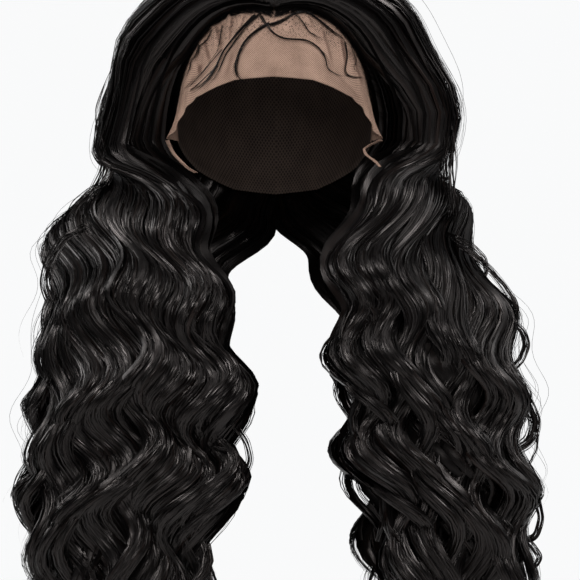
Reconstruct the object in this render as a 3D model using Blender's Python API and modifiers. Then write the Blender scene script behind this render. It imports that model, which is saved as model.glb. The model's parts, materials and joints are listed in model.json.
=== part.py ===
"""A lace front wig with long body wave hair, drawn forward over both shoulders.

Sizes are in metres, +Z is up and the wearer faces -Y. The origin is the top of the head
inside the cap. Left and right are as seen from the front, so left is -X.

The hair of each side is a strip of tresses. A place in that strip has three coordinates:
lane runs from 0 at the face to 1 at the middle of the back, depth from 0 at the inner face
to 1 at the outer face, and station from 0 at the parting to the tips.
"""

import math
from collections import namedtuple

import bmesh
import bpy
from mathutils import Vector

# Head form that the cap is knotted to
HEAD_HALF_WIDTH = 0.075
HEAD_HALF_DEPTH = 0.095
CROWN_HEIGHT = 0.100
NAPE_DROP = 0.110

# Cap and lace
CAP_WALL = 0.0012
LACE_WALL = 0.0010
SEAM_GAP = 0.0006
CAP_COLUMNS = 36
CAP_RINGS = 7
LACE_COLUMNS = 48
LACE_ROWS = 5
LACE_REACH = 80.0
RUFFLE_HEIGHT = 0.0030
RUFFLE_COUNT = 11
FLARE = 0.0085
FLARE_SHARPNESS = 4

# Tabs of lace in front of the ears
TAB_AZIMUTH = 70.0
TAB_WIDTH = 0.009
TAB_STAND = 0.010

# Hair
HALF_SPREAD = 0.190
FORWARD_REACH = 0.126
BACK_REACH = 0.125
STRIP_THICKNESS = 0.050
TIP_LEVEL = -0.480
ROOT_LIFT = 0.016
SIDE_PUFF_LEFT = 0.058
SIDE_PUFF_RIGHT = 0.062
BACK_PUFF = 0.032
CROWN_PUFF = 0.007
HAIR_CLEARANCE = 0.0015
TRESS_GAP = 0.0009
TRESSES_PER_SIDE = 8
RING_POINTS = 8
SECTION_SQUARENESS = 3.2
CUT_SPACE = 0.0005
TIP_TAPER = 2.0
TIP_LEFT = 0.25

# Body wave
WAVE_LENGTH = 0.072
WAVE_SIDEWAYS = 0.0080
WAVE_OUTWARDS = 0.0065
WAVE_START = 1.3
WAVE_FULL = 6.0
WAVE_RELEASE = 1.5
WAVE_EDGE = 0.16

# How far the wave of a lane is ahead on each side, in radians
Turn = namedtuple("Turn", "lane left right")
WAVE_TURNS = (
    Turn(0.00, 1.5, 4.2),
    Turn(0.12, 2.9, 5.0),
    Turn(0.24, 4.9, 6.0),
    Turn(0.34, 4.2, 5.6),
    Turn(0.46, 2.5, 4.2),
    Turn(0.70, 1.7, 3.4),
    Turn(1.00, 0.7, 2.4),
)

# Degrees round the head from the front and degrees above its widest level, for edges
Edge = namedtuple("Edge", "azimuth latitude")
CAP_EDGE = (
    Edge(0, 57),
    Edge(30, 54),
    Edge(50, 45),
    Edge(60, 34),
    Edge(70, 16),
    Edge(80, -4),
    Edge(90, -10),
    Edge(120, -22),
    Edge(150, -30),
    Edge(180, -32),
)
LACE_EDGE = (
    Edge(0, 10),
    Edge(22, 9),
    Edge(34, 6.5),
    Edge(48, 3),
    Edge(57, -1.5),
    Edge(64, -8),
    Edge(72, -12),
    Edge(82, -13),
)

# How far the free edge of the lace stands off the skin, as a share of FLARE
Stand = namedtuple("Stand", "azimuth flare")
LACE_FLARE = (
    Stand(0, 0.0),
    Stand(38, 0.0),
    Stand(50, 0.25),
    Stand(63, 0.70),
    Stand(70, 1.0),
    Stand(76, 0.0),
    Stand(90, 0.0),
)

# Steps down a tab below the edge of the lace. Stand is a share of TAB_STAND and width a
# share of TAB_WIDTH.
TabStep = namedtuple("TabStep", "azimuth latitude stand width")
LEFT_TAB = (
    TabStep(68, -14.6, 1.00, 0.75),
    TabStep(64, -17.5, 1.00, 0.62),
    TabStep(59, -20.5, 0.90, 0.60),
    TabStep(55, -23.0, 0.75, 0.50),
    TabStep(51, -25.5, 0.50, 0.32),
)
RIGHT_TAB = (
    TabStep(66, -13.8, 0.45, 0.60),
    TabStep(61, -16.0, 0.28, 0.42),
    TabStep(58, -18.0, 0.80, 0.55),
    TabStep(58, -19.4, 1.50, 0.62),
    TabStep(58, -21.0, 2.10, 0.34),
)

# How a tress leaves the parting and reaches ear level, for the first and the last lane
Course = namedtuple("Course", "parting turn_azimuth turn_latitude turn_pull ear_azimuth ear_latitude")
FACE_COURSE = Course(42, 60, 40, 1.30, 76, -10)
BACK_COURSE = Course(150, 180, 22, 1.00, 180, -31)

# Sections of the hanging hair. Drop is a share of the way from ear level to the tips. The
# strip starts at an inner edge, passes round an outer side and ends at back_inner: these
# are shares of HALF_SPREAD, front of FORWARD_REACH, back of BACK_REACH and thick of
# STRIP_THICKNESS. Facing is how far its start is turned to the front, in degrees.
Section = namedtuple(
    "Section",
    "drop facing left_inner left_outer right_inner right_outer back_inner front back thick",
)
SECTIONS = (
    Section(0.09, 50, 0.29, 0.78, 0.30, 0.75, 0.05, 0.44, 0.86, 1.00),
    Section(0.18, 76, 0.24, 0.90, 0.25, 0.80, 0.16, 0.62, 0.68, 0.95),
    Section(0.27, 88, 0.22, 0.90, 0.22, 0.86, 0.25, 0.76, 0.47, 0.90),
    Section(0.36, 90, 0.19, 0.89, 0.24, 0.97, 0.29, 0.86, 0.27, 0.86),
    Section(0.46, 90, 0.13, 0.93, 0.25, 0.95, 0.28, 0.93, 0.10, 0.82),
    Section(0.56, 90, 0.13, 0.94, 0.29, 0.98, 0.28, 0.97, -0.04, 0.80),
    Section(0.66, 90, 0.13, 0.95, 0.33, 0.98, 0.30, 0.99, -0.14, 0.78),
    Section(0.76, 90, 0.20, 0.97, 0.43, 1.00, 0.34, 1.00, -0.22, 0.76),
    Section(0.88, 90, 0.26, 0.93, 0.46, 0.98, 0.38, 0.99, -0.27, 0.76),
    Section(1.00, 90, 0.30, 0.88, 0.47, 0.92, 0.41, 0.97, -0.29, 0.76),
)
BEND_STEPS = 8

# How many rings below ear level each tress is cut, and where it ends, as a share of the
# drop. The first is at the face and the last at the back.
Ends = namedtuple("Ends", "cut left_tip right_tip")
TRESS_ENDS = (
    Ends(0, 0.94, 0.98),
    Ends(1, 0.99, 0.95),
    Ends(0, 0.95, 1.00),
    Ends(1, 1.00, 0.96),
    Ends(0, 0.96, 0.99),
    Ends(1, 0.99, 0.94),
    Ends(0, 0.93, 0.98),
    Ends(1, 0.97, 0.93),
)

LEFT, RIGHT = -1, 1
EAR_STATION = 5
STATION_LENGTH = 0.037
RINGS_TO_EAR = 12
RING_STEP = EAR_STATION / RINGS_TO_EAR


def between(low, high, share):
    """The value that lies this share of the way from low to high."""
    return low + (high - low) * share


def eased(share):
    """A share from 0 to 1 with a soft start and end."""
    share = min(max(share, 0.0), 1.0)
    return share * share * (3 - 2 * share)


def along(rows, column, value, result):
    """Reads result from a table at a value of column, with soft steps between its rows."""
    if value <= getattr(rows[0], column):
        return getattr(rows[0], result)
    for low, high in zip(rows, rows[1:]):
        start, end = getattr(low, column), getattr(high, column)
        if value <= end:
            share = (value - start) / (end - start)
            return between(getattr(low, result), getattr(high, result), share)
    return getattr(rows[-1], result)


def direction(azimuth, latitude):
    """The unit vector at degrees round the head from the front and above its widest level."""
    turn, rise = math.radians(azimuth), math.radians(latitude)
    return Vector((math.sin(turn) * math.cos(rise), -math.cos(turn) * math.cos(rise), math.sin(rise)))


def head_point(ray, lift):
    """The point of the head form in the direction ray, moved out by lift."""
    height = CROWN_HEIGHT if ray.z > 0 else NAPE_DROP
    place = Vector((HEAD_HALF_WIDTH * ray.x, HEAD_HALF_DEPTH * ray.y, height * ray.z - CROWN_HEIGHT))
    outwards = Vector((ray.x / HEAD_HALF_WIDTH, ray.y / HEAD_HALF_DEPTH, ray.z / height))
    return place + outwards.normalized() * lift


def course_at(lane):
    """The course of the tress at a lane, between those at the face and at the back."""
    return Course(*(between(face, back, lane) for face, back in zip(FACE_COURSE, BACK_COURSE)))


def crown_ray(lane, share):
    """The direction of a tress a share of the way from the parting to ear level."""
    course = course_at(lane)
    rise = math.radians(course.parting)
    start = Vector((0, -math.cos(rise), math.sin(rise)))
    turn = direction(course.turn_azimuth, course.turn_latitude) * course.turn_pull
    end = direction(course.ear_azimuth, course.ear_latitude)
    ray = start * (1 - share) ** 2 + turn * 2 * share * (1 - share) + end * share**2
    return ray.normalized()


def crown_slice(side, lane, share):
    """The middle of the hair on the head, its outward direction and its thickness."""
    ray = crown_ray(lane, share)
    inner = CAP_WALL + HAIR_CLEARANCE
    side_puff = SIDE_PUFF_LEFT if side == LEFT else SIDE_PUFF_RIGHT
    thickness = between(ROOT_LIFT, between(side_puff, BACK_PUFF, eased(lane)), share)
    thickness += CROWN_PUFF * math.sin(math.pi * share)
    outwards = head_point(ray, 1.0) - head_point(ray, 0.0)
    return head_point(ray, inner + thickness / 2), outwards, thickness


def corner_course(start, corner, end):
    """Places and directions on a path from start to end that rounds off a corner."""
    before, after = corner - start, end - corner
    leg = min(before.length, after.length)
    first = corner - before.normalized() * leg
    last = corner + after.normalized() * leg
    turn = before.angle(after)
    pull = 4 / 3 * math.tan(turn / 4) / math.tan(turn / 2)
    hold, release = first.lerp(corner, pull), last.lerp(corner, pull)
    course = [(start, before.normalized())]
    for step in range(BEND_STEPS + 1):
        t = step / BEND_STEPS
        place = first * (1 - t) ** 3 + hold * 3 * t * (1 - t) ** 2 + release * 3 * t**2 * (1 - t)
        heading = (hold - first) * (1 - t) ** 2 + (release - hold) * 2 * t * (1 - t)
        heading += (last - release) * t**2
        course.append((place + last * t**3, heading.normalized()))
    return course + [(end, after.normalized())]


def along_course(course, share):
    """A place on a course at a share of its length, and the direction out of its bend."""
    lengths = [(after[0] - before[0]).length for before, after in zip(course, course[1:])]
    left = share * sum(lengths)
    step = 0
    while step < len(lengths) - 1 and left > lengths[step]:
        left -= lengths[step]
        step += 1
    part = left / lengths[step] if lengths[step] else 0.0
    heading = course[step][1].lerp(course[step + 1][1], part).normalized()
    return course[step][0].lerp(course[step + 1][0], part), Vector((heading.y, -heading.x))


def hanging_slice(side, lane, section):
    """The middle of the hair below the ears, its outward direction and its thickness."""
    thick = section.thick * STRIP_THICKNESS
    inner, outer = (
        (section.left_inner, section.left_outer)
        if side == LEFT
        else (section.right_inner, section.right_outer)
    )
    turn = math.radians(section.facing)
    start = Vector((
        inner * HALF_SPREAD + math.cos(turn) * thick / 2,
        -section.front * FORWARD_REACH + math.sin(turn) * thick / 2,
    ))
    back = Vector((section.back_inner * HALF_SPREAD, section.back * BACK_REACH - thick / 2))
    side_x = outer * HALF_SPREAD - thick / 2
    widest = Vector((side_x, (start.y + back.y) / 2))
    front_corner = Vector((side_x, start.y + (side_x - start.x) / math.tan(turn)))
    course = corner_course(start, front_corner, widest)
    course += corner_course(widest, Vector((side_x, back.y)), back)
    place, outwards = along_course(course, lane)
    ear_level = head_point(crown_ray(lane, 1.0), 0.0).z
    level = between(ear_level, TIP_LEVEL, section.drop)
    return Vector((place.x, place.y, level)), Vector((outwards.x, outwards.y, 0)), thick


def lane_slices(side, lane):
    """The slices of a lane at every whole station, on the +X side."""
    crown = [crown_slice(side, lane, step / EAR_STATION) for step in range(EAR_STATION + 1)]
    return crown + [hanging_slice(side, lane, section) for section in SECTIONS]


def smooth(values, station):
    """A value on the smooth curve through the values, which lie at whole stations."""
    first = min(int(station), len(values) - 2)
    share = station - first
    start, end = values[first], values[first + 1]
    before = values[first - 1] if first > 0 else start * 2 - end
    after = values[first + 2] if first + 2 < len(values) else end * 2 - start
    leaving, arriving = (end - before) / 2, (after - start) / 2
    bend = share * share * (3 - 2 * share)
    return (
        start * (1 - bend)
        + end * bend
        + leaving * share * (1 - share) ** 2
        - arriving * (1 - share) * share**2
    )


def hair_slice(side, lane, station):
    """The slice of the hair at a lane and a station, before its wave."""
    if station < EAR_STATION:
        return crown_slice(side, lane, station / EAR_STATION)
    middles, directions, thicknesses = zip(*lane_slices(side, lane))
    outwards = smooth(directions, station).normalized()
    return smooth(middles, station), outwards, smooth(thicknesses, station)


def hair_point(side, lane, depth, station):
    """The point of the hair at a lane, a depth and a station."""
    middle, outwards, thickness = hair_slice(side, lane, station)
    turn = along(WAVE_TURNS, "lane", lane, "left" if side == LEFT else "right")
    angle = turn + 2 * math.pi * station * STATION_LENGTH / WAVE_LENGTH
    strength = eased((station - WAVE_START) / (WAVE_FULL - WAVE_START))
    hanging = eased((station - EAR_STATION) / WAVE_RELEASE)
    loose = eased((station - WAVE_START) / (EAR_STATION + WAVE_RELEASE - WAVE_START))
    loose *= between(eased(min(lane, 1 - lane) / WAVE_EDGE), 1, hanging)
    sideways = Vector((-outwards.y, outwards.x, 0))
    moved = WAVE_OUTWARDS * strength * between(depth, 1, hanging) * math.cos(angle)
    place = middle + outwards * ((depth - 0.5) * thickness + moved)
    place += sideways * WAVE_SIDEWAYS * strength * loose * math.sin(angle)
    return Vector((side * place.x, place.y, place.z))


def section_outline():
    """A rounded square from -1 to 1 for a tress, as pairs across the lane and the depth."""
    outline = []
    for step in range(RING_POINTS):
        angle = 2 * math.pi * (step + 0.5) / RING_POINTS
        across, out = math.cos(angle), math.sin(angle)
        reach = (abs(across) ** SECTION_SQUARENESS + abs(out) ** SECTION_SQUARENESS) ** (
            -1 / SECTION_SQUARENESS
        )
        outline.append((across * reach, out * reach))
    return outline


def tress_ring(side, number, station, size):
    """One ring of a tress. Size is 1 along its length and less towards its tip."""
    low, high = number / TRESSES_PER_SIDE, (number + 1) / TRESSES_PER_SIDE
    middle = (low + high) / 2
    edges = [hair_point(side, lane, 0.5, station) for lane in (low, high)]
    half_gap = TRESS_GAP / 2 / max((edges[1] - edges[0]).length, TRESS_GAP)
    half_lane = (high - low) * (0.5 - half_gap)
    ring = []
    for across, out in section_outline():
        lane = middle + across * half_lane * size
        ring.append(hair_point(side, lane, 0.5 + 0.5 * out * size, station))
    return ring


def tress_rings(side, number, start, end, tip):
    """The rings of a tress from start to end, at the stations that all the tresses share."""
    first, last = math.floor(start / RING_STEP) + 1, math.ceil(end / RING_STEP) - 1
    stations = [start] + [step * RING_STEP for step in range(first, last + 1)] + [end]
    rings = []
    for station in stations:
        size = between(TIP_LEFT, 1.0, eased((tip - station) / TIP_TAPER))
        rings.append(tress_ring(side, number, station, size))
    return rings


def show(mesh, name, material, collection):
    """Puts a finished mesh in the collection as a named object with its material."""
    mesh.materials.append(material)
    made = bpy.data.objects.new(name, mesh)
    collection.objects.link(made)
    return made


def loft(name, rings, material, collection):
    """A closed solid through rings of equally many points, which run round the same way."""
    made = bmesh.new()
    corners = [[made.verts.new(point) for point in ring] for ring in rings]
    for lower, upper in zip(corners, corners[1:]):
        for step in range(len(lower)):
            after = (step + 1) % len(lower)
            made.faces.new((lower[step], lower[after], upper[after], upper[step]))
    for ring in (corners[0], corners[-1]):
        middle = made.verts.new(sum((corner.co for corner in ring), Vector()) / len(ring))
        for step in range(len(ring)):
            made.faces.new((ring[step], ring[(step + 1) % len(ring)], middle))
    bmesh.ops.recalc_face_normals(made, faces=made.faces)
    mesh = bpy.data.meshes.new(name)
    made.to_mesh(mesh)
    made.free()
    mesh.shade_smooth()
    return show(mesh, name, material, collection)


def walled_sheet(name, grid, top, wall, material, collection):
    """A wall grown outwards from rows of points, closed round the head if it has a top."""
    made = bmesh.new()
    corners = [[made.verts.new(point) for point in row] for row in grid]
    columns = len(grid[0])
    for lower, upper in zip(corners, corners[1:]):
        for step in range(columns if top else columns - 1):
            after = (step + 1) % columns
            made.faces.new((lower[step], lower[after], upper[after], upper[step]))
    if top:
        pole = made.verts.new(top)
        for step in range(columns):
            made.faces.new((corners[-1][step], corners[-1][(step + 1) % columns], pole))
    mesh = bpy.data.meshes.new(name)
    made.to_mesh(mesh)
    made.free()
    mesh.shade_smooth()
    sheet = show(mesh, name, material, collection)
    thickness = sheet.modifiers.new("wall", "SOLIDIFY")
    thickness.thickness = wall
    thickness.offset = 1.0
    thickness.use_even_offset = True
    return sheet


def crown_cap(material, collection):
    """The stretch net dome that carries the hair, open below for the head."""
    grid = []
    for ring in range(CAP_RINGS):
        row = []
        for column in range(CAP_COLUMNS):
            azimuth = 360 * column / CAP_COLUMNS - 180
            edge = along(CAP_EDGE, "azimuth", abs(azimuth), "latitude")
            latitude = between(edge, 90, ring / CAP_RINGS)
            row.append(head_point(direction(azimuth, latitude), 0.0))
        grid.append(row)
    top = head_point(Vector((0, 0, 1)), 0.0)
    return walled_sheet("crown_cap", grid, top, CAP_WALL, material, collection)


def lace_edge(azimuth):
    """The latitude of the free edge of the lace and how far it stands off the skin there."""
    flare = along(LACE_FLARE, "azimuth", abs(azimuth), "flare")
    ruffle = math.sin(math.pi * RUFFLE_COUNT * azimuth / LACE_REACH) ** 2
    latitude = along(LACE_EDGE, "azimuth", abs(azimuth), "latitude")
    return latitude, flare * (FLARE * flare + RUFFLE_HEIGHT * ruffle)


def lace_front(material, collection):
    """The sheer lace from ear to ear, from the cap's seam down to its free ruffled edge."""
    seam_step = math.degrees(SEAM_GAP / HEAD_HALF_WIDTH)
    grid = []
    for row_number in range(LACE_ROWS + 1):
        share = row_number / LACE_ROWS
        row = []
        for column in range(LACE_COLUMNS + 1):
            azimuth = between(-LACE_REACH, LACE_REACH, column / LACE_COLUMNS)
            seam = along(CAP_EDGE, "azimuth", abs(azimuth), "latitude") - seam_step
            free, stand = lace_edge(azimuth)
            ray = direction(azimuth, between(free, seam, share))
            row.append(head_point(ray, stand * (1 - share) ** FLARE_SHARPNESS))
        grid.append(row)
    return walled_sheet("lace_front", grid, None, LACE_WALL, material, collection)


def ear_tab(name, side, steps, material, collection):
    """The narrow tab that hangs from the edge of the lace and curls away from the cheek."""
    grid = []
    for step in reversed(steps):
        half_turn = math.degrees(step.width * TAB_WIDTH / 2 / HEAD_HALF_WIDTH)
        row = []
        for across in (-1, 0, 1):
            ray = direction(side * step.azimuth + across * half_turn, step.latitude)
            row.append(head_point(ray, step.stand * TAB_STAND))
        grid.append(row)
    top = []
    for across in (-1, 0, 1):
        azimuth = side * TAB_AZIMUTH + across * math.degrees(TAB_WIDTH / 2 / HEAD_HALF_WIDTH)
        latitude, stand = lace_edge(azimuth)
        latitude -= math.degrees(SEAM_GAP / NAPE_DROP)
        top.append(head_point(direction(azimuth, latitude), stand))
    return walled_sheet(name, grid + [top], None, LACE_WALL, material, collection)


def tresses(side, side_name, material, collection):
    """The crown and long tresses of one side, each its own solid."""
    parting = TRESS_GAP / 2 / STATION_LENGTH
    for number in range(TRESSES_PER_SIDE):
        ends = TRESS_ENDS[number % len(TRESS_ENDS)]
        cut = (RINGS_TO_EAR + ends.cut) * RING_STEP
        tip = EAR_STATION + len(SECTIONS) * (ends.left_tip if side == LEFT else ends.right_tip)
        crown = tress_rings(side, number, parting, cut, tip)
        loft(f"crown_tress_{side_name}_{number + 1}", crown, material, collection)
        long = tress_rings(side, number, cut + CUT_SPACE / STATION_LENGTH, tip, tip)
        loft(f"long_tress_{side_name}_{number + 1}", long, material, collection)


def finish(name, colour, roughness):
    """A Principled material of one colour and roughness."""
    material = bpy.data.materials.new(name)
    material.use_nodes = True
    shader = material.node_tree.nodes["Principled BSDF"]
    shader.inputs["Base Color"].default_value = (*colour, 1.0)
    shader.inputs["Roughness"].default_value = roughness
    shader.inputs["Metallic"].default_value = 0.0
    material.diffuse_color = (*colour, 1.0)
    return material


def build():
    """Clears the scene and models the wig."""
    for old in list(bpy.data.objects):
        bpy.data.objects.remove(old)
    collection = bpy.data.collections.new("lace_front_wig")
    bpy.context.scene.collection.children.link(collection)
    hair = finish("black_hair", (0.012, 0.010, 0.010), 0.35)
    lace = finish("tan_lace", (0.42, 0.28, 0.20), 0.85)
    net = finish("cap_net", (0.09, 0.06, 0.045), 0.80)
    crown_cap(net, collection)
    lace_front(lace, collection)
    ear_tab("ear_tab_left", LEFT, LEFT_TAB, lace, collection)
    ear_tab("ear_tab_right", RIGHT, RIGHT_TAB, lace, collection)
    tresses(LEFT, "left", hair, collection)
    tresses(RIGHT, "right", hair, collection)


build()
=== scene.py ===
"""The looks of a lace front wig with long black body wave hair.

Lengths are in metres, +Z is up and the front of the wig faces -Y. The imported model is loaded
as a fixed frame, and every piece made here stands for one or more of its solids.

The hair of each side is a strip. A place in it has three coordinates: lane runs from 0 at the
face to 1 at the middle of the back, depth from 0 at the inner face to 1 at the outer face,
and station from 0 at the parting to the tips, with 5 at ear level.
"""

import json
import logging
import math
from collections.abc import Callable
from dataclasses import dataclass, field
from enum import Enum
from typing import NamedTuple

import bpy
import numpy as np
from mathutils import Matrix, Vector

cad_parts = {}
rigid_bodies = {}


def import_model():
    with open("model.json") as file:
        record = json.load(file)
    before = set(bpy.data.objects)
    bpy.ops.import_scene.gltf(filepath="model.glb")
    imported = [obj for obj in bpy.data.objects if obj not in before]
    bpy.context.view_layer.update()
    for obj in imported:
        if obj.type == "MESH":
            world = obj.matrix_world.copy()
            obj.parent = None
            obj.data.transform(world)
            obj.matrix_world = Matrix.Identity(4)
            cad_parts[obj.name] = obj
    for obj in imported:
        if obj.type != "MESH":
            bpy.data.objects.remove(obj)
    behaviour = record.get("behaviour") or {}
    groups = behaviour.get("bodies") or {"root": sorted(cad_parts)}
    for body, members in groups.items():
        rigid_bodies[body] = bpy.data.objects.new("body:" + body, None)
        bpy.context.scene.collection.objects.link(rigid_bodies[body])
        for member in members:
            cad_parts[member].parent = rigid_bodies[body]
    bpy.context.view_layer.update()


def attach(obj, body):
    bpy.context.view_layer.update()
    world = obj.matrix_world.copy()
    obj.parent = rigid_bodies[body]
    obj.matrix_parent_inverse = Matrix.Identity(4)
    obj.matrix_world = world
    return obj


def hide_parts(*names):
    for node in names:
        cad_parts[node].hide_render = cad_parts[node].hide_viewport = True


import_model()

SEED = 20
ROOT = "root"
TRESSES_PER_SIDE = 8
TINY = 1e-12
HALF_TURN = 180.0
Array = np.ndarray

logging.basicConfig(level=logging.INFO, format="%(message)s")
log = logging.getLogger("lace_front_wig")


class Side(Enum):
    """A side of the wig as seen from the front. Its value is the sign of X there."""

    LEFT = -1
    RIGHT = 1

    @property
    def word(self) -> str:
        """The side's name inside the names of nodes and pieces."""
        return self.name.lower()

    @property
    def mirror(self) -> Array:
        """What turns a place on the right side into one on this side."""
        return np.array([self.value, 1.0, 1.0])


class Region(Enum):
    """The part of a side's hair that a piece holds, with the numbers of its tresses."""

    FRONT = (1, 2, 3, 4)
    BACK = (5, 6, 7, 8)

    def nodes(self, side: Side) -> list[str]:
        """The CAD nodes of this region.

        Args:
            side: The side of the wig.

        Returns:
            The names of its crown and long tresses.
        """
        return [f"{part}_tress_{side.word}_{number}" for part in ("crown", "long") for number in self.value]


def eased(share: Array | float) -> Array:
    """A share from 0 to 1 with a soft start and end."""
    share = np.clip(share, 0.0, 1.0)
    return share * share * (3 - 2 * share)


def between(low: Array | float, high: Array | float, share: Array | float) -> Array:
    """The value that lies this share of the way from low to high."""
    return low + (high - low) * share


def unit(vectors: Array) -> Array:
    """The vectors at length 1."""
    return vectors / np.maximum(np.linalg.norm(vectors, axis=-1, keepdims=True), TINY)


def table_value(rows: tuple, column: str, result: str, value: Array | float) -> Array:
    """Reads one column of a table at values of another.

    Args:
        rows: The rows, in the order of the column that is looked up.
        column: The column that is looked up.
        result: The column that is read.
        value: Where to read it.

    Returns:
        The result at each value, straight between the rows.
    """
    return np.interp(value, [getattr(row, column) for row in rows], [getattr(row, result) for row in rows])


# The head form and the hair's form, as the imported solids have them


@dataclass(frozen=True)
class HeadForm:
    """The head that the cap is made for, an ellipsoid with a deeper lower half."""

    half_width: float = 0.075
    half_depth: float = 0.095
    crown_height: float = 0.100
    nape_drop: float = 0.110

    @staticmethod
    def ray(azimuth: Array | float, latitude: Array | float) -> Array:
        """Unit vectors from the middle of the head.

        Args:
            azimuth: Degrees round the head from the front.
            latitude: Degrees above its widest level.

        Returns:
            The vectors, one for each pair.
        """
        turn, rise = np.broadcast_arrays(np.radians(azimuth), np.radians(latitude))
        return np.stack([np.sin(turn) * np.cos(rise), -np.cos(turn) * np.cos(rise), np.sin(rise)], axis=-1)

    def reach(self, ray: Array) -> Array:
        """The half sizes of the ellipsoid in the half that each ray points to.

        Args:
            ray: Unit vectors from the middle of the head.

        Returns:
            The half sizes for each.
        """
        height = np.where(ray[..., 2] > 0, self.crown_height, self.nape_drop)
        wide, deep = np.full_like(height, self.half_width), np.full_like(height, self.half_depth)
        return np.stack([wide, deep, height], axis=-1)

    def outwards(self, ray: Array) -> Array:
        """The direction straight out of the head where each ray meets it."""
        return unit(ray / self.reach(ray))

    def point(self, ray: Array, lift: Array | float = 0.0) -> Array:
        """Points on or over the head.

        Args:
            ray: Unit vectors from the middle of the head.
            lift: How far each point stands off the head.

        Returns:
            The points.
        """
        place = ray * self.reach(ray) - np.array([0.0, 0.0, self.crown_height])
        return place + self.outwards(ray) * np.asarray(lift)[..., None]

    def ray_at(self, x: Array, z: Array) -> Array:
        """The ray that meets the front of the head.

        Args:
            x: The X of each place on the front.
            z: Its Z.

        Returns:
            Unit vectors from the middle of the head.
        """
        rise = z + self.crown_height
        height = np.where(rise > 0, self.crown_height, self.nape_drop)
        across, up = x / self.half_width, rise / height
        depth = -np.sqrt(np.clip(1 - across**2 - up**2, 0.0, 1.0))
        return unit(np.stack([across, depth, up], axis=-1))


class Course(NamedTuple):
    """How a tress leaves the parting and reaches ear level, in degrees."""

    parting: float
    turn_azimuth: float
    turn_latitude: float
    turn_pull: float
    ear_azimuth: float
    ear_latitude: float


class Section(NamedTuple):
    """A level of the hanging hair, as shares of the driving sizes. Facing is in degrees."""

    drop: float
    facing: float
    left_inner: float
    left_outer: float
    right_inner: float
    right_outer: float
    back_inner: float
    front: float
    back: float
    thick: float


FACE_COURSE = Course(42, 60, 40, 1.30, 76, -10)
BACK_COURSE = Course(150, 180, 22, 1.00, 180, -31)
SECTIONS = (
    Section(0.09, 50, 0.29, 0.78, 0.30, 0.75, 0.05, 0.44, 0.86, 1.00),
    Section(0.18, 76, 0.24, 0.90, 0.25, 0.80, 0.16, 0.62, 0.68, 0.95),
    Section(0.27, 88, 0.22, 0.90, 0.22, 0.86, 0.25, 0.76, 0.47, 0.90),
    Section(0.36, 90, 0.19, 0.89, 0.24, 0.97, 0.29, 0.86, 0.27, 0.86),
    Section(0.46, 90, 0.13, 0.93, 0.25, 0.95, 0.28, 0.93, 0.10, 0.82),
    Section(0.56, 90, 0.13, 0.94, 0.29, 0.98, 0.28, 0.97, -0.04, 0.80),
    Section(0.66, 90, 0.13, 0.95, 0.33, 0.98, 0.30, 0.99, -0.14, 0.78),
    Section(0.76, 90, 0.20, 0.97, 0.43, 1.00, 0.34, 1.00, -0.22, 0.76),
    Section(0.88, 90, 0.26, 0.93, 0.46, 0.98, 0.38, 0.99, -0.27, 0.76),
    Section(1.00, 90, 0.30, 0.88, 0.47, 0.92, 0.41, 0.97, -0.29, 0.76),
)


class Turn(NamedTuple):
    """How far the body wave of a lane is ahead on each side, in radians."""

    lane: float
    left: float
    right: float


WAVE_TURNS = (
    Turn(0.00, 1.5, 4.2),
    Turn(0.12, 2.9, 5.0),
    Turn(0.24, 4.9, 6.0),
    Turn(0.34, 4.2, 5.6),
    Turn(0.46, 2.5, 4.2),
    Turn(0.70, 1.7, 3.4),
    Turn(1.00, 0.7, 2.4),
)
EAR_STATION = 5
LAST_STATION = EAR_STATION + len(SECTIONS)
HEAD = HeadForm()


class Calm(NamedTuple):
    """How strong the wave of the strands is at a station, on each side."""

    station: float
    left: float
    right: float


CALMS = (
    Calm(5.0, 1.00, 1.00),
    Calm(6.5, 0.95, 0.80),
    Calm(8.0, 0.75, 0.65),
    Calm(9.3, 0.85, 0.85),
    Calm(10.5, 1.10, 1.10),
    Calm(15.5, 1.15, 1.10),
)


class Wave(NamedTuple):
    """How the body wave of each strand differs from the wave of the whole side."""

    turn: Array
    stretch: Array
    gain: Array


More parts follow.
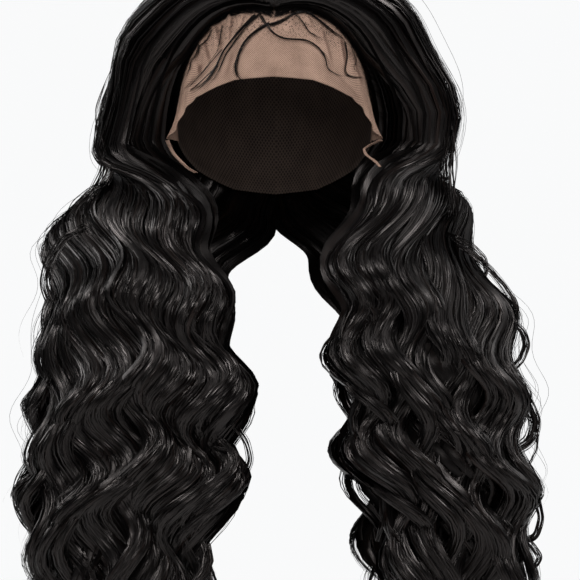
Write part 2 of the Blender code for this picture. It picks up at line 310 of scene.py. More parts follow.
@dataclass
class HairForm:
    """The smooth form that the hair of one side fills, with its body wave."""

    side: Side
    half_spread: float = 0.190
    forward_reach: float = 0.126
    back_reach: float = 0.125
    strip_thickness: float = 0.050
    tip_level: float = -0.480
    root_lift: float = 0.016
    left_puff: float = 0.058
    right_puff: float = 0.062
    crown_puff: float = 0.007
    back_puff: float = 0.032
    cap_space: float = 0.0027
    station_length: float = 0.037
    wave_length: float = 0.072
    wave_sideways: float = 0.0080
    wave_outwards: float = 0.0065
    wave_start: float = 1.3
    wave_full: float = 6.0
    wave_release: float = 1.5
    wave_edge: float = 0.16
    bend_steps: int = 8
    lane_steps: int = 96
    station_steps: int = 8
    edge_round: float = 0.05
    edge_rise: float = 2.0
    inner_turn: float = 1.3
    outer_turn: float = 0.9
    jitter_share: float = 0.25
    jitter_start: float = 6.0
    jitter_run: float = 7.0
    places: Array = field(init=False)
    facings: Array = field(init=False)
    depths: Array = field(init=False)

    def __post_init__(self) -> None:
        """Works out the form once, on a fine grid of lanes and stations."""
        lanes = np.linspace(0, 1, self.lane_steps + 1)
        shares = np.linspace(0, 1, EAR_STATION * self.station_steps + 1)
        crown = self.crown_slices(*np.meshgrid(lanes, shares, indexing="ij"))
        coarse = self.crown_slices(*np.meshgrid(lanes, np.linspace(0, 1, EAR_STATION + 1), indexing="ij"))
        hanging = [[self.hanging_slice(lane, section) for section in SECTIONS] for lane in lanes]
        below = [np.array([[item[part] for item in row] for row in hanging]) for part in range(3)]
        stations = np.arange(len(shares), LAST_STATION * self.station_steps + 1) / self.station_steps
        joined = []
        for upper, start, lower in zip(crown, coarse, below):
            smooth = self.smooth(np.concatenate([start, lower], axis=1), stations)
            joined.append(np.concatenate([upper, smooth], axis=1))
        self.places, self.facings, self.depths = joined
        self.facings = unit(self.facings)

    def course_ray(self, lane: Array, share: Array) -> Array:
        """The direction of a tress on the head.

        Args:
            lane: The lanes.
            share: How far each is on its way from the parting to ear level.

        Returns:
            Unit vectors from the middle of the head.
        """
        course = Course(*(between(face, back, lane) for face, back in zip(FACE_COURSE, BACK_COURSE)))
        rise = np.radians(course.parting)
        start = np.stack([np.zeros_like(rise), -np.cos(rise), np.sin(rise)], axis=-1)
        turn = HEAD.ray(course.turn_azimuth, course.turn_latitude) * np.asarray(course.turn_pull)[..., None]
        end = HEAD.ray(course.ear_azimuth, course.ear_latitude)
        share = np.asarray(share)[..., None]
        return unit(start * (1 - share) ** 2 + turn * 2 * share * (1 - share) + end * share**2)

    def crown_slices(self, lane: Array, share: Array) -> tuple[Array, Array, Array]:
        """The middle of the hair on the head, its outward direction and its thickness.

        Args:
            lane: The lanes.
            share: How far each is on its way from the parting to ear level.

        Returns:
            Places, unit vectors and thicknesses.
        """
        ray = self.course_ray(lane, share)
        side_puff = self.left_puff if self.side is Side.LEFT else self.right_puff
        puff = between(side_puff, self.back_puff, eased(lane))
        thickness = between(self.root_lift, puff, share) + self.crown_puff * np.sin(np.pi * share)
        return HEAD.point(ray, self.cap_space + thickness / 2), HEAD.outwards(ray), thickness

    def round_corner(self, start: Array, corner: Array, end: Array) -> list[tuple[Array, Array]]:
        """Places and directions on a flat path that rounds off a corner.

        Args:
            start: Where the path starts.
            corner: The corner that it rounds.
            end: Where it ends.

        Returns:
            Pairs of a place and a unit vector.
        """
        before, after = corner - start, end - corner
        leg = min(np.linalg.norm(before), np.linalg.norm(after))
        first, last = corner - unit(before) * leg, corner + unit(after) * leg
        turn = math.acos(float(np.clip(unit(before) @ unit(after), -1, 1)))
        pull = 4 / 3 * math.tan(turn / 4) / math.tan(turn / 2)
        hold, release = between(first, corner, pull), between(last, corner, pull)
        path = [(start, unit(before))]
        for step in range(self.bend_steps + 1):
            t = step / self.bend_steps
            left = 1 - t
            place = first * left**3 + hold * 3 * t * left**2 + release * 3 * t**2 * left + last * t**3
            heading = (hold - first) * left**2 + (release - hold) * 2 * t * left + (last - release) * t**2
            path.append((place, unit(heading)))
        return path + [(end, unit(after))]

    def hanging_slice(self, lane: float, section: Section) -> tuple[Array, Array, float]:
        """The middle of the hair below the ears, its outward direction and its thickness.

        Args:
            lane: The lane.
            section: The row of the table for its level.

        Returns:
            A place, a unit vector and a thickness.
        """
        thick = section.thick * self.strip_thickness
        inner, outer = section.right_inner, section.right_outer
        if self.side is Side.LEFT:
            inner, outer = section.left_inner, section.left_outer
        turn = math.radians(section.facing)
        offset = np.array([math.cos(turn), math.sin(turn)]) * thick / 2
        start = np.array([inner * self.half_spread, -section.front * self.forward_reach]) + offset
        back = np.array([section.back_inner * self.half_spread, section.back * self.back_reach - thick / 2])
        side_x = outer * self.half_spread - thick / 2
        widest = np.array([side_x, (start[1] + back[1]) / 2])
        front_corner = np.array([side_x, start[1] + (side_x - start[0]) / math.tan(turn)])
        path = self.round_corner(start, front_corner, widest)
        path += self.round_corner(widest, np.array([side_x, back[1]]), back)
        places, headings = (np.array(part) for part in zip(*path))
        lengths = np.concatenate([[0.0], np.cumsum(np.linalg.norm(np.diff(places, axis=0), axis=1))])
        marks = lane * lengths[-1]
        place = np.array([np.interp(marks, lengths, places[:, axis]) for axis in (0, 1)])
        heading = unit(np.array([np.interp(marks, lengths, headings[:, axis]) for axis in (0, 1)]))
        ear_level = HEAD.point(self.course_ray(np.array(lane), 1.0))[2]
        level = between(ear_level, self.tip_level, section.drop)
        return np.array([*place, level]), np.array([heading[1], -heading[0], 0.0]), thick

    @staticmethod
    def smooth(values: Array, stations: Array) -> Array:
        """Reads a smooth curve through values that lie at whole stations.

        Args:
            values: The values, with the stations along their second axis.
            stations: Where to read them.

        Returns:
            The values there, along the second axis.
        """
        first = np.minimum(stations.astype(int), values.shape[1] - 2)
        share = (stations - first).reshape([1, -1] + [1] * (values.ndim - 2))
        start, end = values[:, first], values[:, first + 1]
        index = first.reshape(share.shape)
        before = np.where(index > 0, values[:, np.maximum(first - 1, 0)], start * 2 - end)
        inside = index + 2 < values.shape[1]
        after = np.where(inside, values[:, np.minimum(first + 2, values.shape[1] - 1)], end * 2 - start)
        bend = share * share * (3 - 2 * share)
        leaving, arriving = (end - before) / 2, (after - start) / 2
        curve = start * (1 - bend) + end * bend
        return curve + leaving * share * (1 - share) ** 2 - arriving * (1 - share) * share**2

    def slices(self, lane: Array, station: Array) -> tuple[Array, Array, Array]:
        """The middle of the hair at lanes and stations, before its wave.

        Args:
            lane: The lanes, which may lie a little outside 0 to 1.
            station: The stations.

        Returns:
            Places, outward unit vectors and thicknesses.
        """
        lane_at, station_at = lane * self.lane_steps, station * self.station_steps
        low_lane = np.clip(lane_at.astype(int), 0, self.lane_steps - 1)
        low_station = np.clip(station_at.astype(int), 0, self.places.shape[1] - 2)
        across, along = lane_at - low_lane, station_at - low_station
        found = []
        for table in (self.places, self.facings, self.depths):
            share_across = across[..., None] if table.ndim == 3 else across
            share_along = along[..., None] if table.ndim == 3 else along
            near, far = (
                between(table[low_lane, row], table[low_lane + 1, row], share_across)
                for row in (low_station, low_station + 1)
            )
            found.append(between(near, far, share_along))
        return found[0], unit(found[1]), found[2]

    def nearness(self, lane: Array) -> tuple[Array, Array]:
        """How near lanes are to the face edge and the back edge, from 0 at the rounding's end to 1."""
        return tuple(1 - np.clip(gap / self.edge_round, 0, 1) for gap in (lane, 1 - lane))

    def rounded_depth(self, lane: Array, depth: Array, station: Array) -> Array:
        """Draws depth together at the two edges of the strip, so that they are round.

        Args:
            lane: The lanes.
            depth: The depths as if the strip had square edges.
            station: The stations.

        Returns:
            The depths. On the head the face edge closes down onto the lace instead.
        """
        middle = 0.5 * eased((station - EAR_STATION + self.edge_rise) / self.edge_rise)
        hanging = eased((station - EAR_STATION) / self.wave_release)
        face, nape = self.nearness(lane)
        nape = nape * hanging
        kept = np.sqrt(np.clip(1 - face**2, 0, 1)) * np.sqrt(np.clip(1 - nape**2, 0, 1))
        return between(middle, depth, kept)

    def edge_turn(self, lane: Array, depth: Array) -> Array:
        """How far the surface turns towards the face at the first lanes, in radians.

        Args:
            lane: The lanes.
            depth: The depths.

        Returns:
            The turns, which are negative at the last lanes.
        """
        face, nape = (np.arcsin(near) for near in self.nearness(lane))
        return (face - nape) * between(self.inner_turn, self.outer_turn, depth)

    def points(self, lane: Array, depth: Array, station: Array, wave: Wave) -> tuple[Array, Array]:
        """Places in the waved hair.

        Args:
            lane: The lanes.
            depth: The depths.
            station: The stations.
            wave: How the wave of each strand differs.

        Returns:
            The places and the outward unit vectors there.
        """
        middle, outwards, thickness = self.slices(lane, station)
        depth = self.rounded_depth(lane, depth, station)
        cycles = station * self.station_length / self.wave_length
        late = (station - EAR_STATION) * self.station_length / self.wave_length
        phase = table_value(WAVE_TURNS, "lane", self.side.word, lane)
        apart = eased((station - self.jitter_start) / self.jitter_run)
        jitter = wave.turn * between(self.jitter_share, 1.0, apart)
        angle = phase + jitter + 2 * np.pi * (cycles + late * (wave.stretch - 1))
        strength = eased((station - self.wave_start) / (self.wave_full - self.wave_start))
        hanging = eased((station - EAR_STATION) / self.wave_release)
        loose = eased((station - self.wave_start) / (EAR_STATION + self.wave_release - self.wave_start))
        loose = loose * between(eased(np.minimum(lane, 1 - lane) / self.wave_edge), 1, hanging)
        calm = table_value(CALMS, "station", self.side.word, station)
        gain = between(1.0, wave.gain * calm, hanging)
        moved = self.wave_outwards * gain * strength * between(depth, 1, hanging) * np.cos(angle)
        swung = self.wave_sideways * gain * strength * loose * np.sin(angle)
        sideways = np.stack([-outwards[..., 1], outwards[..., 0], np.zeros_like(swung)], axis=-1)
        raised = (depth - 0.5) * thickness + moved
        place = middle + outwards * raised[..., None] + sideways * swung[..., None]
        return place * self.side.mirror, outwards * self.side.mirror


# Shaders


class Value:
    """A value in a shader that Python's operators combine, adding its Math nodes."""

    def __init__(self, sheet: "ShaderSheet", socket: bpy.types.NodeSocket) -> None:
        """Wraps an output socket of a sheet."""
        self.sheet, self.socket = sheet, socket

    def math(self, operation: str, *others: "Value | float") -> "Value":
        """Adds a Math node.

        Args:
            operation: The node's operation.
            others: Its other inputs.

        Returns:
            The node's result.
        """
        inputs = dict(enumerate((self, *others)))
        return self.sheet.node("ShaderNodeMath", {"operation": operation}, inputs)

    def __add__(self, other: "Value | float") -> "Value":
        """This value plus another."""
        return self.math("ADD", other)

    def __sub__(self, other: "Value | float") -> "Value":
        """This value less another."""
        return self.math("SUBTRACT", other)

    def __rsub__(self, other: float) -> "Value":
        """Another value less this one."""
        return (self * -1.0) + other

    def __mul__(self, other: "Value | float") -> "Value":
        """This value times another."""
        return self.math("MULTIPLY", other)

    __radd__ = __add__
    __rmul__ = __mul__

    def ramp(self, low: float, high: float, start: float = 0.0, end: float = 1.0) -> "Value":
        """Maps low to start and high to end with a soft step.

        Args:
            low: The value that becomes start.
            high: The value that becomes end.
            start: The least result.
            end: The greatest result.

        Returns:
            The mapped value.
        """
        values = {"Value": self, "From Min": low, "From Max": high, "To Min": start, "To Max": end}
        return self.sheet.node("ShaderNodeMapRange", {"interpolation_type": "SMOOTHSTEP"}, values, "Result")


MIXED_COLOUR = 2
COLOURS_TO_MIX = (6, 7)


class ShaderSheet:
    """A material being made, with a Principled shader already on it."""

    def __init__(self, name: str) -> None:
        """Makes an empty material.

        Args:
            name: The material's name.
        """
        self.material = bpy.data.materials.new(name)
        self.material.use_nodes = True
        self.tree = self.material.node_tree
        self.shader = self.tree.nodes["Principled BSDF"]

    def node(
        self,
        kind: str,
        settings: dict[str, object] | None = None,
        values: dict[str | int, "Value | float | tuple"] | None = None,
        output: str | int = 0,
    ) -> Value:
        """Adds any node.

        Args:
            kind: The node's type.
            settings: Its settings, which are set first.
            values: The values or links of its sockets.
            output: The output that is wanted.

        Returns:
            That output.
        """
        made = self.tree.nodes.new(kind)
        for name, setting in (settings or {}).items():
            setattr(made, name, setting)
        for name, value in (values or {}).items():
            self.put(made.inputs[name], value)
        return Value(self, made.outputs[output])

    def put(self, socket: bpy.types.NodeSocket, value: "Value | float | tuple") -> None:
        """Links a value to a socket, or sets a constant there.

        Args:
            socket: The socket.
            value: An output of this sheet, a number or a colour.
        """
        if isinstance(value, Value):
            self.tree.links.new(value.socket, socket)
        else:
            socket.default_value = value

    def surface(self, values: dict[str, "Value | float | tuple"]) -> None:
        """Sets or links the sockets of the Principled shader."""
        for name, value in values.items():
            self.put(self.shader.inputs[name], value)

    def surface_place(self) -> tuple[Value, Value]:
        """The two coordinates of the piece's own UV map, which are metres along its surface.

        Returns:
            The one across a strand or cloth, and the one along it.
        """
        place = self.node("ShaderNodeTexCoord", output="UV")
        split = self.node("ShaderNodeSeparateXYZ", values={"Vector": place})
        return split, Value(self, split.socket.node.outputs["Y"])

    def noise(self, across: Value | float, along: Value | float, detail: float, seed: float = 0.0) -> Value:
        """Soft noise over two coordinates.

        Args:
            across: The first coordinate, in cells of the noise.
            along: The second.
            detail: How many finer layers it has.
            seed: A third coordinate, which picks another pattern.

        Returns:
            The noise, from 0 to 1.
        """
        place = self.node("ShaderNodeCombineXYZ", values={"X": across, "Y": along, "Z": seed})
        return self.node("ShaderNodeTexNoise", values={"Vector": place, "Scale": 1.0, "Detail": detail})

    def blend(self, share: Value, low: tuple, high: tuple | Value) -> Value:
        """A colour between two others.

        Args:
            share: How much of the second there is.
            low: The first colour, or a blend.
            high: The second.

        Returns:
            The mixed colour.
        """
        settings = {"data_type": "RGBA"}
        made = self.node("ShaderNodeMix", settings, {"Factor": share}, MIXED_COLOUR)
        for number, colour in zip(COLOURS_TO_MIX, (low, high)):
            self.put(made.socket.node.inputs[number], colour)
        return made


def tone(red: float, green: float, blue: float) -> tuple[float, float, float, float]:
    """A colour as a socket takes it."""
    return (red, green, blue, 1.0)


@dataclass(frozen=True)
class HairFinish:
    """Black hair, whose strands differ a little in colour and gloss."""

    name: str
    black: tuple = tone(0.0022, 0.0019, 0.0020)
    brown: tuple = tone(0.0085, 0.0045, 0.0034)
    streak_width: float = 0.00045
    streak_length: float = 0.045
    tint_width: float = 0.0045
    tint_stretch: float = 0.2
    tint_start: float = 0.50
    tint_end: float = 0.78
    lock_width: float = 0.30
    lock_turns: float = 6.0
    streak_share: float = 0.55
    lock_share: float = 0.75
    gloss_end: float = 0.42
    dull_start: float = 0.88
    least_roughness: float = 0.20
    most_roughness: float = 0.40
    relief: float = 0.00025
    relief_strength: float = 0.42
    gloss: float = 0.30
    sheen: tuple = tone(1.0, 0.90, 0.87)

    def material(self) -> bpy.types.Material:
        """Makes the material, which follows each strand by its UV map.

        Returns:
            The material.
        """
        sheet = ShaderSheet(self.name)
        across, along = sheet.surface_place()
        streak = sheet.noise(across * (1 / self.streak_width), along * (1 / self.streak_length), detail=2.0)
        stretched = across * (1 / self.tint_width), along * (self.tint_stretch / self.streak_length)
        tint = sheet.noise(*stretched, detail=1.0, seed=7.0)
        lock = sheet.noise(across * (1 / self.lock_width), along * self.lock_turns, detail=1.0, seed=4.0)
        colour = sheet.blend(tint.ramp(self.tint_start, self.tint_end), self.black, self.brown)
        dull = streak * self.streak_share + lock * self.lock_share
        rough = dull.ramp(self.gloss_end, self.dull_start, self.least_roughness, self.most_roughness)
        bump = {"Height": streak, "Strength": self.relief_strength, "Distance": self.relief}
        sheet.surface({
            "Base Color": colour,
            "Roughness": rough,
            "Specular IOR Level": self.gloss,
            "Specular Tint": self.sheen,
            "Normal": sheet.node("ShaderNodeBump", values=bump),
        })
        return sheet.material


# The name of the fold attribute, which holds how steeply the folds stand together with their painted shade.
FOLD_STEEPNESS_AND_SHADE = "steepness"


@dataclass(frozen=True)
class NetFinish:
    """A fine knotted net with its threads on both diagonals.

    It has dark knots where hair is tied in. Its folds are painted darker: partly the denser net seen edge-on,
    partly painted shade on the flank away from the key light.
    """

    name: str
    thread: tuple
    shade: tuple
    mesh_size: float
    hole_cover: float
    root: tuple = tone(0.012, 0.008, 0.007)
    # Painted shade colour for the flanks of the folds, partly also the denser net seen edge-on.
    crease: tuple = tone(0.075, 0.030, 0.020)
    crease_cover: float = 0.72
    knots: float = 0.0
    knot_start: float = 0.020
    knot_end: float = 0.050
    knot_spacing: float = 0.0017
    roughness: float = 0.82
    gloss: float = 0.25
    relief: float = 0.00020
    relief_strength: float = 0.6
    blotch_size: float = 0.018
    thread_edge: float = 0.30
    hole_edge: float = 0.75
    fibres: float = 3.0
    thread_share: float = 0.45
    blotch_share: float = 0.55
    fibre_share: float = 0.15
    fibre_relief: float = 0.4
    least_worn: float = 0.25
    most_worn: float = 0.95
    knot_middle: float = 0.15
    knot_rim: float = 0.50
    crease_start: float = 0.10
    crease_end: float = 0.80

    def material(self) -> bpy.types.Material:
        """Makes the material, which follows the cloth by its UV map in metres.

        Returns:
            The material.
        """
        sheet = ShaderSheet(self.name)
        across, along = sheet.surface_place()
        turns = math.pi / self.mesh_size
        one = ((across + along) * turns).math("SINE").math("ABSOLUTE")
        other = ((across - along) * turns).math("SINE").math("ABSOLUTE")
        open_share = one.math("MINIMUM", other)
        thread = open_share.ramp(self.thread_edge, self.hole_edge, 1.0, 0.0)
        blotch = sheet.noise(across * (1 / self.blotch_size), along * (1 / self.blotch_size), detail=3.0)
        fine = across * (self.fibres / self.mesh_size), along * (self.fibres / self.mesh_size)
        fibre = sheet.noise(*fine, detail=1.0, seed=3.0)
        # The cloth runs from the dark shade colour to the thread colour. The net's holes get painted shade,
        # and random blotches stand for wear.
        wear_and_hole_shade = thread * self.thread_share + blotch * self.blotch_share + fibre * self.fibre_share
        wear_and_hole_shade = wear_and_hole_shade.ramp(self.least_worn, self.most_worn)
        height = thread + fibre * self.fibre_relief
        bump = {"Height": height, "Strength": self.relief_strength, "Distance": self.relief}
        place = {"X": across * (1 / self.knot_spacing), "Y": along * (1 / self.knot_spacing)}
        cells = sheet.node("ShaderNodeCombineXYZ", values=place)
        dot = sheet.node("ShaderNodeTexVoronoi", values={"Vector": cells, "Scale": 1.0})
        dense = along.ramp(self.knot_start, self.knot_end, 0.0, self.knots)
        dark = dot.ramp(self.knot_middle, self.knot_rim, 1.0, 0.0) * dense
        # Painted shade in the folds: the cloth is darkened towards a dark red-brown by the fold attribute.
        # This is partly the denser net seen edge-on and partly painted shade on the flank away from the key
        # light.
        steep_and_shaded = sheet.node("ShaderNodeAttribute", {"attribute_name": FOLD_STEEPNESS_AND_SHADE}, output="Fac")
        cloth = sheet.blend(wear_and_hole_shade, self.shade, self.thread)
        crease_shade_share = steep_and_shaded.ramp(self.crease_start, self.crease_end, 0.0, self.crease_cover)
        cloth = sheet.blend(crease_shade_share, cloth, self.crease)
        sheet.surface({
            "Base Color": sheet.blend(dark, cloth, self.root),
            "Roughness": self.roughness,
            "Specular IOR Level": self.gloss,
            "Alpha": thread.ramp(0.0, 1.0, self.hole_cover, 1.0),
            "Normal": sheet.node("ShaderNodeBump", values=bump),
        })
        return sheet.material


@dataclass(frozen=True)
class StudioFinish:
    """The pale matte floor under the wig."""

    name: str = "studio_floor"
    colour: tuple = tone(0.82, 0.82, 0.82)
    grain_scale: float = 4.0
    least_roughness: float = 0.8
    most_roughness: float = 0.9

    def material(self) -> bpy.types.Material:
        """Makes the material.

        Returns:
            The material.
        """
        sheet = ShaderSheet(self.name)
        place = sheet.node("ShaderNodeTexCoord", output="Object")
        grain = sheet.node("ShaderNodeTexNoise", values={
            "Vector": place, "Scale": self.grain_scale, "Detail": 2.0,
        })
        rough = grain.ramp(low=0.3, high=0.7, start=self.least_roughness, end=self.most_roughness)
        sheet.surface({"Base Color": self.colour, "Roughness": rough})
        return sheet.material


# Meshes


def deselect_all() -> None:
    """Leaves nothing selected, because an operator acts on all that is."""
    for item in bpy.context.view_layer.objects:
        item.select_set(False)


def mesh_object(name: str, points: Array, quads: Array, triangles: Array, uvs: Array) -> bpy.types.Object:
    """Makes one mesh from arrays.

    Args:
        name: The object's name.
        points: Its vertices.
        quads: The vertices of each face of four.
        triangles: The vertices of each face of three.
        uvs: The UV place of each vertex.

    Returns:
        The object, shaded smooth.
    """
    mesh = bpy.data.meshes.new(name)
    corners = np.concatenate([quads.ravel(), triangles.ravel()]).astype(np.int32)
    starts = np.concatenate([
        np.arange(len(quads)) * 4,
        len(quads) * 4 + np.arange(len(triangles)) * 3,
    ]).astype(np.int32)
    mesh.vertices.add(len(points))
    mesh.vertices.foreach_set("co", points.astype(np.float32).ravel())
    mesh.loops.add(len(corners))
    mesh.loops.foreach_set("vertex_index", corners)
    mesh.polygons.add(len(starts))
    mesh.polygons.foreach_set("loop_start", starts)
    mesh.update(calc_edges=True)
    layer = mesh.uv_layers.new(name="strand")
    layer.uv.foreach_set("vector", uvs[corners].astype(np.float32).ravel())
    mesh.shade_smooth()
    made = bpy.data.objects.new(name, mesh)
    bpy.context.scene.collection.objects.link(made)
    return made


def finish_piece(piece: bpy.types.Object, material: bpy.types.Material, nodes: list[str]) -> None:
    """Dresses a piece and ties it to the frame.

    Args:
        piece: The piece.
        material: Its finish.
        nodes: The CAD nodes that it stands for.
    """
    piece.data.materials.clear()
    piece.data.materials.append(material)
    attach(piece, ROOT)
    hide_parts(*nodes)
    log.info("%s: %d faces", piece.name, len(piece.data.polygons))


STRAND_OFFSET = 0.0137


class Strands(NamedTuple):
    """Bare strands: their paths, outward directions, widths and turns, one row for each."""

    paths: Array
    facings: Array
    widths: Array
    roll: Array

    @classmethod
    def joined(cls, parts: "list[Strands]") -> "Strands":
        """All the strands of several sets."""
        return cls(*(np.concatenate(column) for column in zip(*parts)))

    def frames(self) -> tuple[Array, Array]:
        """The directions that each strand's width and face have along it.

        Returns:
            Unit vectors across it, and out of its face.
        """
        tangents = unit(np.gradient(self.paths, axis=1))
        facings = self.facings - tangents * np.sum(tangents * self.facings, axis=-1, keepdims=True)
        facings = unit(facings)
        across = np.cross(facings, tangents)
        cosine, sine = np.cos(self.roll)[..., None], np.sin(self.roll)[..., None]
        return across * cosine + facings * sine, facings * cosine - across * sine

    def lengths(self) -> Array:
        """How far along its strand each point lies."""
        steps = np.linalg.norm(np.diff(self.paths, axis=1), axis=-1)
        return np.concatenate([np.zeros((len(steps), 1)), np.cumsum(steps, axis=1)], axis=1)

    def ribbons(self, name: str, crown: float, columns: int) -> bpy.types.Object:
        """Makes each strand a ribbon.

        Args:
            name: The object's name.
            crown: How far a ribbon's middle stands up, as a share of its width.
            columns: How many points there are across a ribbon.

        Returns:
            The object.
        """
        across, out = self.frames()
        marks = np.linspace(-0.5, 0.5, columns)
        rise = crown * (1 - (2 * marks) ** 2)
        widths = self.widths[..., None, None]
        points = self.paths[:, :, None] + across[:, :, None] * marks[:, None] * widths
        points = points + out[:, :, None] * rise[:, None] * widths
        count, steps = self.widths.shape
        index = np.arange(count * steps * columns).reshape(count, steps, columns)
        low, high = index[:, :-1], index[:, 1:]
        quads = np.stack([low[..., :-1], low[..., 1:], high[..., 1:], high[..., :-1]], axis=-1).reshape(-1, 4)
        return mesh_object(name, points.reshape(-1, 3), quads, np.empty((0, 3), int), self.uvs(marks))

    def tubes(self, name: str, sides: int = 3) -> bpy.types.Object:
        """Makes each strand a thin closed tube.

        Args:
            name: The object's name.
            sides: How many sides a tube has.

        Returns:
            The object.
        """
        across, out = self.frames()
        turns = 2 * np.pi * np.arange(sides) / sides
        radius = self.widths[..., None, None] / 2
        points = self.paths[:, :, None] + across[:, :, None] * np.cos(turns)[:, None] * radius
        points = points + out[:, :, None] * np.sin(turns)[:, None] * radius
        count, steps = self.widths.shape
        index = np.arange(count * steps * sides).reshape(count, steps, sides)
        after = np.roll(index, -1, axis=2)
        low, high = index[:, :-1], index[:, 1:]
        quads = np.stack([low, after[:, :-1], after[:, 1:], high], axis=-1).reshape(-1, 4)
        caps = []
        for corner in range(1, sides - 1):
            caps.append(index[:, 0, [0, corner + 1, corner]])
            caps.append(index[:, -1, [0, corner, corner + 1]])
        marks = np.linspace(-0.5, 0.5, sides)
        return mesh_object(name, points.reshape(-1, 3), quads, np.concatenate(caps), self.uvs(marks))

    def uvs(self, marks: Array) -> Array:
        """UV places in metres, each strand on its own stretch of the first coordinate.

        Args:
            marks: The points across a strand, as shares of its width.

        Returns:
            One pair for each vertex.
        """
        count, steps = self.widths.shape
        offset = (np.arange(count) * STRAND_OFFSET)[:, None, None]
        first = offset + marks * self.widths[..., None]
        second = np.broadcast_to(self.lengths()[..., None], first.shape)
        return np.stack([first, second], axis=-1).reshape(-1, 2)


# Hair


PIXEL = 0.00072
MIDDLE_COLUMN = 274
TOP_ROW = -36


def picture_place(columns: Array, rows: Array) -> tuple[Array, Array]:
    """The X and Z of columns and rows in a picture of 580 by 580 from the front."""
    return (columns - MIDDLE_COLUMN) * PIXEL, (TOP_ROW - rows) * PIXEL


ROUNDING_PASSES = 6


def tip_taper(share: Array, slope: float, least: float, end: float = 1.0) -> Array:
    """How much of a strand's width is left as its tip comes near."""
    return np.clip((end - share) * slope, least, 1)


def rounded(fine: Array, marks: Array, values: Array) -> Array:
    """A curve through values with its corners rounded.

    Args:
        fine: Where it is read, in metres along its course.
        marks: Where the values lie along it.
        values: The values.

    Returns:
        The curve.
    """
    curve = np.interp(fine, marks, values)
    for _ in range(ROUNDING_PASSES):
        curve[1:-1] = (curve[:-2] + 2 * curve[1:-1] + curve[2:]) / 4
    return curve


def picture_curve(points: tuple[tuple[float, float], ...], steps: int) -> tuple[Array, Array]:
    """A smooth curve through places in the picture.

    Args:
        points: Their columns and rows.
        steps: How many points the curve has.

    Returns:
        Its X and its Z.
    """
    columns, rows = (np.array(part, float) for part in zip(*points))
    x, z = picture_place(columns, rows)
    marks = np.concatenate([[0.0], np.cumsum(np.hypot(np.diff(x), np.diff(z)))])
    fine = np.linspace(0, marks[-1], steps)
    return rounded(fine, marks, x), rounded(fine, marks, z)


class Layer(NamedTuple):
    """A layer of locks: where it lies, how many there are, and what each holds."""

    first_lane: float
    last_lane: float
    locks: int
    least_depth: float
    most_depth: float
    strands: int
    strips: int


class Tendril(NamedTuple):
    """A curl that stands clear of the hair, by its columns and rows in a picture of 580 by 580.

    Front is its distance in front of the middle of the head, and reach the half width of the
    bundle, both in metres.
    """

    name: str
    side: Side
    front: float
    reach: float
    hairs: int
    points: tuple[tuple[float, float], ...]


